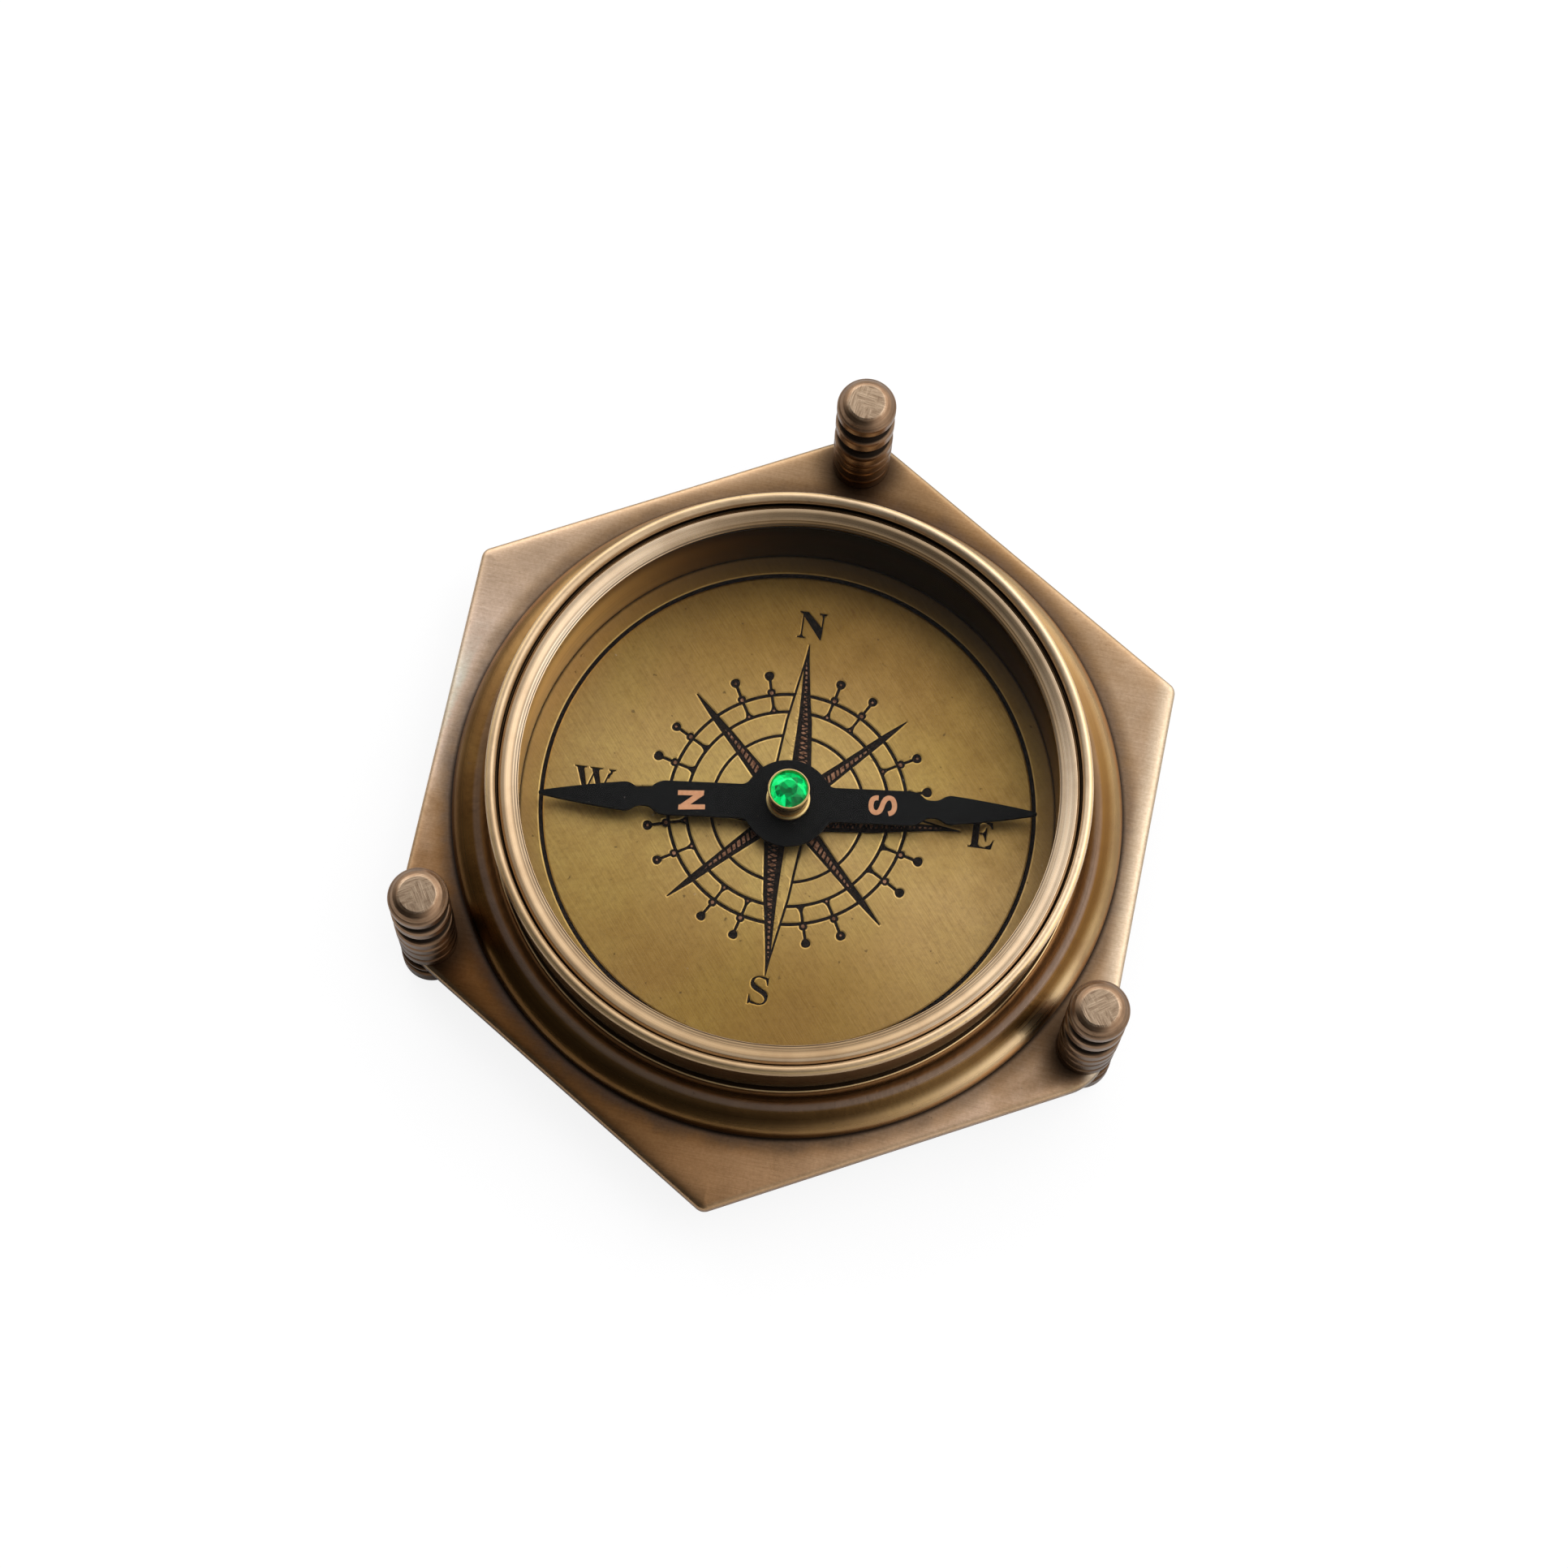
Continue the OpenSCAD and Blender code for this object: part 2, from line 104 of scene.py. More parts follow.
def lathe(name, profile, segments, mat, body, base=PLATE_TOP, closed=True, **rest):
    """Turn a profile of (radius, z above base), anticlockwise round the solid, about Z."""
    verts, rows = [], []
    for radius, z in profile:
        if radius < 1e-6:
            rows.append([len(verts)] * segments)
            verts.append((0, 0, base + z))
        else:
            rows.append(list(range(len(verts), len(verts) + segments)))
            verts += [(x, y, base + z) for x, y in circle(radius, segments)]
    faces = []
    for i in range(len(profile) if closed else len(profile) - 1):
        low, high = rows[i], rows[(i + 1) % len(profile)]
        for k in range(segments):
            k2 = (k + 1) % segments
            face = list(dict.fromkeys((low[k], low[k2], high[k2], high[k])))
            if len(face) > 2:
                faces.append(face)
    return add(name, verts, faces, mat, body, closed_slot(name), **rest) if False else \
        add(name, verts, faces, mat, body, **rest)


def circle(radius, steps, cx=0.0, cy=0.0, wobble=0.0):
    points = []
    for k in range(steps):
        a = 2 * pi * k / steps
        reach = radius + wobble * math.sin(3 * a + cx)
        points.append((cx + reach * math.cos(a), cy + reach * math.sin(a)))
    return points


def arc(cx, cy, radius, start, end, steps, radius_y=None):
    """Arc between two angles in degrees, elliptic when radius_y is given."""
    radius_y = radius_y or radius
    angles = [math.radians(start + (end - start) * k / steps) for k in range(steps + 1)]
    return [(cx + radius * math.cos(a), cy + radius_y * math.sin(a)) for a in angles]


def rounded(corners, steps=4):
    """Open polyline whose inner corners (x, y, radius) become arcs."""
    out = [corners[0]]
    for before, corner, after in zip(corners, corners[1:], corners[2:]):
        x, y, radius = corner
        tip = Vector((x, y))
        back, ahead = Vector(before[:2]) - tip, Vector(after[:2]) - tip
        back_len, ahead_len = back.length, ahead.length
        back.normalize()
        ahead.normalize()
        half = math.acos(max(-1, min(1, back.dot(ahead)))) / 2
        if half > 1.5 or half < 0.05:   # nearly straight or folded back
            out.append((x, y))
            continue
        cut = min(radius / math.tan(half), back_len * 0.49, ahead_len * 0.49)
        radius = cut * math.tan(half)
        centre = tip + (back + ahead).normalized() * (radius / math.sin(half))
        first, last = tip + back * cut - centre, tip + ahead * cut - centre
        start = math.atan2(first.y, first.x)
        sweep = (math.atan2(last.y, last.x) - start + pi) % (2 * pi) - pi
        for k in range(steps + 1):
            a = start + sweep * k / steps
            out.append((centre.x + radius * math.cos(a), centre.y + radius * math.sin(a)))
    return out + [corners[-1]]


def double_area(points):
    """Twice the signed area, positive when anticlockwise."""
    return sum(a[0] * b[1] - b[0] * a[1] for a, b in zip(points, points[1:] + points[:1]))


def winding(a, b, c):
    a, b, c = (Vector(p[:2]) for p in (a, b, c))
    return (b - a).cross(c - a)


def triangulate(outlines):
    """Cut overlapping outlines into triangles: points, triangles, outlines over each."""
    points, polys = [], []
    for outline in outlines:
        outline = list(outline) if double_area(outline) > 0 else list(outline)[::-1]
        polys.append(list(range(len(points), len(points) + len(outline))))
        points += [Vector(p) for p in outline]
    points, _, tris, _, _, sources = delaunay_2d_cdt(points, [], polys, 1, 1e-5)
    tris = [list(t)[::-1] if winding(*(points[v] for v in t)) < 0 else list(t) for t in tris]
    return points, tris, sources


def fill_flat(verts, faces, rings, up):
    """Close the first ring of vertex indices, leaving the other rings open as holes."""
    ids, polys = [], []
    for ring in rings:
        polys.append(list(range(len(ids), len(ids) + len(ring))))
        ids += ring
    points = [Vector(verts[i][:2]) for i in ids]
    _, _, tris, origins, _, sources = delaunay_2d_cdt(points, [], polys, 1, 1e-7)
    for tri, source in zip(tris, sources):
        if source and all(s == 0 for s in source):
            tri = [ids[origins[v][0]] for v in tri]
            faces.append(tri if (winding(*(verts[v] for v in tri)) > 0) == up else tri[::-1])


def link_new(name, data):
    ob = bpy.data.objects.new(name, data)
    bpy.context.scene.collection.objects.link(ob)
    return ob


def evaluated_mesh(ob):
    bpy.context.view_layer.update()
    graph = bpy.context.evaluated_depsgraph_get()
    return bpy.data.meshes.new_from_object(ob.evaluated_get(graph))


# ---- node helpers ------------------------------------------------------------------
class Graph:
    """Short calls for building one node tree."""

    def __init__(self, tree):
        self.tree = tree
        tree.nodes.clear()

    def node(self, kind, inputs=None, **props):
        node = self.tree.nodes.new(kind)
        for name, value in props.items():
            setattr(node, name, value)
        for key, value in (inputs or {}).items():
            socket = node.inputs[key]
            if isinstance(value, bpy.types.NodeSocket):
                self.tree.links.new(value, socket)
            elif socket.type == "RGBA":
                socket.default_value = (*value, 1)
            else:
                socket.default_value = value
        return node

    def math(self, op, *values):
        return self.node("ShaderNodeMath", dict(enumerate(values)), operation=op).outputs[0]

    def times(self, first, *factors):
        for factor in factors:
            first = self.math("MULTIPLY", first, factor)
        return first

    def invert(self, value):
        return self.math("SUBTRACT", 1.0, value)

    def vec(self, op, *values):
        node = self.node("ShaderNodeVectorMath", dict(enumerate(values)), operation=op)
        scalar = op in ("LENGTH", "DISTANCE", "DOT_PRODUCT")
        return node.outputs["Value" if scalar else "Vector"]

    def mix_shader(self, by, first, second):
        return self.node("ShaderNodeMixShader", {0: by, 1: first, 2: second}).outputs[0]


class Mat(Graph):
    """A material whose patterns are laid out in object space, in millimetres."""

    def __init__(self, name):
        self.material = bpy.data.materials.new(name)
        self.material.use_nodes = True
        super().__init__(self.material.node_tree)

    @cached_property
    def mm(self):
        coords = self.node("ShaderNodeTexCoord")
        return self.vec("MULTIPLY", coords.outputs["Object"], (1000, 1000, 1000))

    @cached_property
    def axes(self):
        return self.node("ShaderNodeSeparateXYZ", {0: self.mm}).outputs

    @cached_property
    def z(self):
        return self.axes[2]

    @cached_property
    def height(self):
        """Height above the plate's top."""
        return self.math("SUBTRACT", self.z, PLATE_TOP)

    @cached_property
    def flat(self):
        return self.node("ShaderNodeCombineXYZ", {0: self.axes[0], 1: self.axes[1]}).outputs[0]

    @cached_property
    def radius(self):
        return self.vec("LENGTH", self.flat)

    @cached_property
    def outward(self):
        return self.vec("NORMALIZE", self.flat)

    def noise(self, scale=1.0, detail=4, rough=0.6, at=None, stretch=None, w=None, distort=0.0):
        at = self.mm if at is None else at
        if stretch:
            at = self.vec("MULTIPLY", at, stretch)
        inputs = {"Vector": at, "Scale": scale, "Detail": detail, "Roughness": rough,
                  "Distortion": distort}
        if w is not None:
            inputs["W"] = w
        dims = "3D" if w is None else "4D"
        return self.node("ShaderNodeTexNoise", inputs, noise_dimensions=dims).outputs[0]

    def turned(self, radial, axial, around, detail=4):
        """Noise drawn out round the axis, as a lathe tool leaves it."""
        ring = self.vec("MULTIPLY", self.outward, (around, around, 0))
        rise = self.node("ShaderNodeCombineXYZ", {2: self.times(self.z, axial)}).outputs[0]
        return self.noise(detail=detail, at=self.vec("ADD", ring, rise),
                          w=self.times(self.radius, radial))

    def ramp(self, value, stops, interp="LINEAR"):
        """Colour ramp; stops are (position, grey or colour)."""
        node = self.node("ShaderNodeValToRGB", {0: value})
        node.color_ramp.interpolation = interp
        elements = node.color_ramp.elements
        while len(elements) < len(stops):
            elements.new(0.5)
        for k, (position, color) in enumerate(stops):
            elements[k].position = position
            color = color if isinstance(color, tuple) else (color, color, color)
            elements[k].color = (*color, 1)
        return node.outputs[0]

    def level(self, value, start, end, low=0, high=1):
        """Straight ramp from low at start to high at end."""
        return self.ramp(value, [(start, low), (end, high)])

    def span(self, value, start, end, low=0.0, high=1.0):
        """Smooth step from low at start to high at end."""
        return self.node("ShaderNodeMapRange", {0: value, 1: start, 2: end, 3: low, 4: high},
                         interpolation_type="SMOOTHSTEP").outputs[0]

    def rise(self, value, start, end, peak=1.0):
        return self.span(value, start, end, 0.0, peak)

    def fall(self, value, start, end, peak=1.0):
        return self.span(value, start, end, peak, 0.0)

    def shift(self, value, noise, width):
        """Move a value to and fro by noise, over a range of the given width."""
        return self.math("ADD", value, self.math("MULTIPLY_ADD", noise, width, -width / 2))

    def mix(self, color, toward, by):
        return self.node("ShaderNodeMix", {0: by, 6: color, 7: toward},
                         data_type="RGBA").outputs[2]

    def fmix(self, low, high, by):
        return self.node("ShaderNodeMix", {0: by, 2: low, 3: high},
                         data_type="FLOAT").outputs[0]

    def mottle(self, color, toward, noise, start, end, strength=1):
        """Blend toward another colour as the noise goes from start to end."""
        return self.mix(color, toward, self.level(noise, start, end, high=strength))

    def specks(self, color, toward, noise, start, end, strength):
        """Small spots where the noise peaks."""
        return self.mix(color, toward, self.times(self.level(noise, start, end), strength))

    def rough_by(self, noise, low, high):
        return self.fmix(low, high, self.level(noise, 0.3, 0.7))

    def around(self, *stops, noise=None, blotch=0.0):
        """A strength that changes round the axis.

        Stops are (degrees, strength): 0 is the camera's right, 90 is away from the camera.
        Blotch is how far the noise shifts the angle, in turns.
        """
        strongest = 2.5                 # the ramp holds 0 to 1, scaled by this
        parts = self.node("ShaderNodeSeparateXYZ", {0: self.outward}).outputs
        angle = self.math("ARCTAN2", parts[1], parts[0])
        angle = self.math("MULTIPLY_ADD", angle, 1 / (2 * pi), 1.0 - VIEW_TURN / 360)
        if noise is not None:
            angle = self.shift(angle, noise, blotch)
        angle = self.math("FRACT", angle)
        # both ends are set so that the closed curve meets itself without a step
        end = 0.4 * (stops[0][1] + stops[-1][1])
        stops = [(0, end + 0.2 * stops[-2][1]), *stops[1:-1], (360, end + 0.2 * stops[1][1])]
        value = self.ramp(angle, [(d / 360, k / strongest) for d, k in stops], "B_SPLINE")
        return self.times(value, strongest)

    def shade(self, color, amount, green=1.2, blue=1.5):
        """Scale a colour; the green and blue powers make it warmer as it darkens."""
        scale = self.node("ShaderNodeCombineXYZ", {
            0: amount, 1: self.math("POWER", amount, green),
            2: self.math("POWER", amount, blue)}).outputs[0]
        return self.vec("MINIMUM", self.vec("MULTIPLY", color, scale), (0.94, 0.9, 0.86))

    def relief(self, *layers):
        """Bump layers (height, strength, depth in mm), the first one undermost."""
        normal = {}
        for height, strength, depth in layers:
            bump = self.node("ShaderNodeBump", {
                "Height": height, "Strength": strength, "Distance": depth * MM, **normal})
            normal = {"Normal": bump.outputs[0]}
        return normal["Normal"]

    def output(self, shader):
        self.node("ShaderNodeOutputMaterial", {0: shader})
        return self.material

    def finish(self, color, rough, normal, metallic=1.0, **extra):
        """Principled surface; extra inputs are named with _ for each space."""
        inputs = {"Base Color": color, "Roughness": rough, "Metallic": metallic}
        inputs.update({key.replace("_", " "): value for key, value in extra.items()})
        inputs["Normal"] = normal
        return self.output(self.node("ShaderNodeBsdfPrincipled", inputs).outputs[0])


# ---- materials ---------------------------------------------------------------------
# Masks on radius and height are in mm and follow the outlines of the pieces below.
def plate_brass():
    m = Mat("brass_plate")
    big = m.noise(scale=0.06, detail=3, rough=0.5)
    mid = m.noise(scale=0.35, detail=5)
    fine = m.noise(scale=3.0)
    brush = m.noise(stretch=(0.25, 9.0, 6.0), rough=0.65)
    light, middle, patina = (0.60, 0.41, 0.26), (0.45, 0.30, 0.18), (0.088, 0.068, 0.066)
    col = m.mottle(middle, light, big, 0.35, 0.65)
    col = m.mottle(col, (0.40, 0.245, 0.125), mid, 0.42, 0.75, strength=0.35)
    # thin tarnish everywhere, with painted light and shade round the axis, lighter toward the
    # edge
    tarnish_and_light = m.around((0, 1.12), (40, 0.76), (65, 0.50), (100, 0.98), (140, 1.24), (160, 2.05),
                    (180, 1.15), (205, 0.28), (245, 0.66), (278, 1.08), (300, 1.70),
                    (318, 0.70), (338, 1.25), (360, 1.16), noise=mid, blotch=0.06)
    tarnish_and_light = m.times(tarnish_and_light, m.span(m.radius, 37.2, 39.0, 0.80, 1.12))
    col = m.shade(col, tarnish_and_light, green=1.28, blue=1.8)
    # patina halo against the bowl's foot
    halo = m.fall(m.shift(m.radius, mid, 2.4), 36.2, 38.6)
    side = m.around((0, 0.72), (60, 0.62), (110, 0.35), (150, 0.62), (178, 0.85), (215, 0.85),
                    (262, 0.72), (300, 0.45), (330, 0.55), (360, 0.72))
    col = m.mix(col, patina, m.times(halo, side))
    # painted shade: the shaded side of the plate is a warmer brown
    shade_side_warmth = m.around((0, 0.0), (170, 0.0), (195, 0.85), (240, 0.85), (285, 0.35), (310, 0.5),
                    (335, 0.0), (360, 0.0))
    shade_side_warmth = m.times(shade_side_warmth, m.invert(m.times(halo, 0.8)))
    col = m.mix(col, m.vec("MULTIPLY", col, (1.08, 0.84, 0.58)), shade_side_warmth)
    # painted shade: a dark line where the bowl stands, then specks
    col = m.mix(col, (0.035, 0.026, 0.022), m.fall(m.radius, 36.4, 36.95, peak=0.92))
    col = m.specks(col, (0.10, 0.07, 0.05), m.noise(scale=1.7, detail=2, rough=0.5),
                   0.72, 0.80, strength=0.35)
    # tarnish round the posts, with painted shade where they stand
    for x, y in POST_CENTRES:
        distance = m.vec("DISTANCE", m.flat, (x, y, 0))
        col = m.mix(col, (0.06, 0.036, 0.022), m.fall(distance, 3.0, 6.4, peak=0.88))
    # the hexagon's edges are worn light; a painted highlight lightens the +X side most of all
    flats = [m.vec("DOT_PRODUCT", m.flat, (math.cos(k * pi / 3), math.sin(k * pi / 3), 0))
             for k in range(6)]
    out = flats[0]
    for flat in flats[1:]:
        out = m.math("MAXIMUM", out, flat)
    worn = m.times(m.rise(out, 38.35, 38.75, peak=0.45),
                   m.rise(m.z, PLATE_TOP - 0.9, PLATE_TOP - 0.5))
    col = m.mix(col, (0.66, 0.48, 0.29), worn)
    # painted highlight: a broad pale band along the +X side
    col = m.mix(col, (0.84, 0.72, 0.56), m.rise(flats[0], 36.4, 38.2, peak=0.5))
    # darker toward the underside
    low = m.fall(m.z, FOOT_H + 0.2, FOOT_H + 1.2, peak=0.45)
    col = m.mix(col, (0.22, 0.145, 0.08), low)
    rough = m.rough_by(mid, 0.27, 0.36)
    rough = m.fmix(rough, 0.5, m.times(halo, 0.5))
    rough = m.shift(rough, brush, 0.10)
    col = m.shade(col, m.level(brush, 0.25, 0.75, 0.80, 1.0))
    col = m.shade(col, m.level(fine, 0.3, 0.7, 0.84, 1.0))
    return m.finish(col, rough, m.relief((big, 0.5, 0.45), (brush, 0.16, 0.05),
                                         (fine, 0.14, 0.04)))


def bowl_brass():
    m = Mat("brass_bowl")
    tool = m.turned(radial=5.0, axial=5.0, around=0.8)
    fine = m.turned(radial=26.0, axial=26.0, around=1.5, detail=2)
    mott = m.noise(scale=0.22, detail=5)
    radius, height = m.radius, m.height
    olive, brown, dark = (0.36, 0.22, 0.09), (0.235, 0.13, 0.052), (0.035, 0.02, 0.012)
    col = m.mottle(olive, (0.30, 0.175, 0.075), mott, 0.35, 0.65)
    # wall: painted shade, near black against the ledge, warmer brown under the bead
    shaded_wall = m.mix(dark, brown, m.rise(height, 4.2, 10.5))
    col = m.mix(col, shaded_wall, m.rise(height, 3.1, 3.6))
    # rim bead, bright, then painted light and shade round the axis
    bead = m.rise(height, 11.3, 11.7)
    bright = m.mottle((0.74, 0.545, 0.345), (0.60, 0.425, 0.255), mott, 0.3, 0.7)
    col = m.mix(col, bright, bead)
    rim = m.around((0, 1.25), (25, 1.15), (50, 1.5), (75, 1.12), (105, 1.0), (135, 0.92),
                   (165, 0.96), (205, 0.66), (255, 0.68), (285, 0.76), (315, 1.25),
                   (345, 1.38), (360, 1.25))
    col = m.mix(col, m.shade(col, rim, green=1.15, blue=1.4), bead)
    # painted shade: near black on the ledge and up the undercut
    undercut_shade = m.times(m.fall(radius, 31.95, 32.0), m.fall(height, 4.6, 5.9),
                   m.rise(height, 3.0, 3.2), 0.93)
    col = m.mix(col, (0.016, 0.010, 0.007), undercut_shade)
    # painted light and shade round the foot: all of it, with its own share for the ledge and
    # for the skirt
    low = m.around((0, 0.52), (25, 0.85), (50, 1.25), (85, 1.7), (115, 1.2), (140, 0.66),
                   (165, 0.50), (195, 0.36), (225, 0.50), (262, 0.85), (285, 0.95),
                   (312, 1.9), (335, 0.50), (360, 0.42), noise=mott, blotch=0.04)
    skirt_light = m.around((0, 2.3), (30, 1.4), (60, 0.9), (130, 0.95), (180, 1.15), (208, 0.95),
                     (245, 0.68), (285, 1.0), (315, 1.25), (340, 2.0), (360, 2.3),
                     noise=mott, blotch=0.04)
    ledge_light = m.around((0, 0.85), (50, 1.2), (110, 1.3), (165, 1.05), (205, 0.6), (232, 1.2),
                     (262, 0.65), (295, 0.5), (316, 0.24), (338, 0.55), (360, 0.85),
                     noise=mott, blotch=0.04)
    low = m.times(low, m.fmix(ledge_light, skirt_light, m.rise(radius, 34.6, 35.5)))
    col = m.mix(col, m.shade(col, low, green=1.25, blue=1.7), m.fall(height, 3.1, 3.6))
    # painted reflection and shade round the front of the foot: a violet-grey reflected band,
    # a dark ring outside it and a brown one inside. Columns: rise start and end, fall start
    # and end (radius), top fade start and end (height), strength, colour
    front_reflection = m.around((0, 0.35), (60, 0.0), (170, 0.15), (215, 0.85), (320, 0.85), (345, 0.6),
                     (360, 0.35), noise=mott, blotch=0.06)
    for rising, falling, fade, strength, color in (
            ((33.0, 33.4), (33.8, 34.15), (3.1, 3.3), 0.62, (0.31, 0.235, 0.20)),
            ((34.0, 34.35), (35.0, 35.7), (3.1, 3.3), 0.45, (0.055, 0.028, 0.010)),
            ((32.02, 32.1), (33.0, 33.5), (3.0, 3.1), 0.75, (0.27, 0.125, 0.05))):
        ring = m.times(m.rise(radius, *rising), m.fall(radius, *falling), front_reflection,
                       m.fall(height, *fade), strength)
        col = m.mix(col, color, ring)
    # painted highlight: a bright line on the ledge's edge
    painted_edge = m.times(m.rise(radius, 31.88, 31.96), m.rise(height, 3.02, 3.1),
                   m.fall(radius, 32.06, 32.1), 0.95)
    col = m.mix(col, (0.86, 0.60, 0.30), painted_edge)
    # painted shade: a dark contact line with the plate, and dark inside the rim
    contact_shade = m.fall(height, 0.0, 0.35, peak=0.85)
    col = m.mix(col, (0.04, 0.03, 0.02), contact_shade)
    groove_shade = m.times(m.fall(radius, 31.10, 31.17), m.rise(height, 10.0, 11.2))
    col = m.mix(col, (0.02, 0.014, 0.01), groove_shade)
    col = m.specks(col, (0.09, 0.06, 0.035), m.noise(scale=1.6), 0.66, 0.74, strength=0.4)
    rough = m.rough_by(tool, 0.24, 0.36)
    rough = m.fmix(rough, 0.6, contact_shade)
    rough = m.math("ADD", rough, m.times(bead, 0.10))
    return m.finish(col, rough, m.relief((tool, 0.25, 0.03), (fine, 0.12, 0.01),
                                         (mott, 0.35, 0.25)))


def bezel_brass():
    m = Mat("brass_bezel")
    tool = m.turned(radial=9.0, axial=9.0, around=0.7)
    col = m.mottle((0.56, 0.40, 0.25), (0.64, 0.47, 0.30), tool, 0.38, 0.62)
    col = m.mottle(col, (0.40, 0.26, 0.15), m.noise(scale=0.25), 0.45, 0.75, strength=0.5)
    # painted light and shade: each zone from the outer land to the inner step has its own
    # strength round the axis
    land_light = m.around((0, 1.22), (45, 1.08), (80, 0.84), (98, 1.0), (120, 1.75), (150, 1.2),
                    (180, 0.9), (212, 0.58), (240, 0.72), (270, 0.96), (300, 1.22),
                    (332, 1.6), (360, 1.22))
    slope = m.around((0, 1.75), (18, 1.05), (45, 0.76), (90, 0.72), (107, 0.98), (124, 1.6),
                     (150, 1.08), (180, 0.92), (212, 0.75), (245, 0.66), (270, 0.50),
                     (300, 0.72), (332, 1.45), (360, 1.75))
    step_light = m.around((0, 1.5), (16, 0.55), (45, 0.38), (75, 0.27), (98, 0.42), (120, 1.2),
                    (142, 1.75), (168, 1.5), (190, 0.9), (240, 0.68), (272, 0.55),
                    (300, 0.66), (328, 1.25), (360, 1.5))
    zone_light = m.fmix(slope, land_light, m.rise(m.radius, 30.12, 30.36))
    zone_light = m.fmix(step_light, zone_light, m.rise(m.radius, 29.28, 29.46))
    col = m.shade(col, zone_light, green=1.15, blue=1.4)
    # painted shade: a dark line in the groove by the opening, and down the outer edge
    line = m.times(m.rise(m.radius, 28.76, 28.84, peak=0.8), m.fall(m.radius, 28.90, 28.98))
    col = m.mix(col, (0.06, 0.04, 0.025), line)
    painted_edge = m.times(m.rise(m.radius, 30.70, 30.82, peak=0.95),
                   m.rise(m.z, PLATE_TOP + 11.33, PLATE_TOP + 11.25))
    col = m.mix(col, (0.03, 0.02, 0.012), painted_edge)
    return m.finish(col, m.rough_by(tool, 0.22, 0.34), m.relief((tool, 0.22, 0.02)))


def sleeve_brass():
    m = Mat("brass_sleeve")
    tool = m.turned(radial=5.0, axial=4.0, around=0.8)
    col = m.mottle((0.31, 0.215, 0.12), (0.41, 0.285, 0.16), tool, 0.35, 0.65)
    col = m.mix(col, (0.16, 0.105, 0.06), m.rise(m.height, 6.0, 9.5))
    # painted light and shade round the axis
    sleeve_light = m.around((0, 0.62), (22, 0.26), (50, 0.10), (88, 0.11), (104, 0.30), (120, 0.95),
                   (142, 2.3), (166, 1.8), (190, 1.1), (240, 0.7), (300, 0.62), (335, 0.9),
                   (360, 0.62))
    col = m.shade(col, sleeve_light)
    # painted shade: dark just above the dial
    col = m.mix(col, (0.05, 0.035, 0.02), m.fall(m.height, 0.5, 1.1, peak=0.7))
    return m.finish(col, m.rough_by(tool, 0.34, 0.46), m.relief((tool, 0.3, 0.03)))


def dial_brass():
    m = Mat("brass_dial")
    big = m.noise(scale=0.05, detail=3, rough=0.5, distort=0.4)
    mid = m.noise(scale=0.28, detail=5, rough=0.62)
    fine = m.noise(scale=2.2, detail=5, rough=0.65)
    brush = m.noise(stretch=(0.5, 5.0, 1.0), rough=0.65)
    col = m.mottle((0.50, 0.315, 0.088), (0.465, 0.275, 0.088), big, 0.36, 0.64)
    col = m.mottle(col, (0.35, 0.20, 0.06), mid, 0.4, 0.72, strength=0.5)
    col = m.mottle(col, (0.25, 0.14, 0.05), fine, 0.45, 0.8, strength=0.5)
    # fine scratches left by wiping, one way across the plate
    slanted = m.node("ShaderNodeVectorRotate", {"Vector": m.mm, "Angle": 0.9},
                     rotation_type="Z_AXIS").outputs[0]
    wipe = m.noise(at=slanted, stretch=(0.22, 7.0, 1.0), detail=5, rough=0.7)
    col = m.shade(col, m.level(wipe, 0.3, 0.7, 0.80, 1.06))
    # painted light: bright in the middle, painted light and shade round the axis farther out
    dial_light_shade = m.around((0, 0.98), (30, 0.94), (60, 0.84), (100, 0.80), (135, 1.16), (160, 1.42),
                    (185, 1.20), (215, 1.02), (265, 0.80), (290, 1.05), (318, 1.55),
                    (340, 1.25), (360, 0.98), noise=mid, blotch=0.08)
    dial_light_shade = m.fmix(1.42, dial_light_shade, m.rise(m.radius, 6.0, 22.0))
    col = m.shade(col, dial_light_shade, green=1.25, blue=1.9)
    # painted shade: darker to the edge, and a dark line at the sleeve
    col = m.mix(col, (0.30, 0.19, 0.09), m.rise(m.radius, 25.8, 29.3, peak=0.55))
    col = m.mix(col, (0.03, 0.022, 0.015), m.rise(m.radius, 28.75, 29.1, peak=0.9))
    col = m.specks(col, (0.08, 0.05, 0.03), m.noise(scale=1.1, detail=2, rough=0.5),
                   0.735, 0.76, strength=0.55)
    return m.finish(col, m.rough_by(mid, 0.34, 0.44), m.relief(
        (mid, 0.30, 0.12), (brush, 0.12, 0.03), (wipe, 0.20, 0.03), (fine, 0.16, 0.02)))


def mottled(name, noise, colors, band, rough, bump, metallic, **extra):
    """Two colours blended over a band of the noise: (start, end, strength)."""
    m = Mat(name)
    grain = m.noise(**noise)
    col = m.mottle(*colors, grain, *band)
    return m.finish(col, m.fmix(*rough, grain), m.relief((grain, *bump)), metallic, **extra)


def turned_metal(name, colors, rough):
    """Plain turned metal for the small parts."""
    m = Mat(name)
    tool = m.turned(radial=10.0, axial=8.0, around=0.8, detail=3)
    col = m.mottle(*colors, tool, 0.35, 0.65)
    return m.finish(col, m.fmix(*rough, tool), m.relief((tool, 0.2, 0.02)))


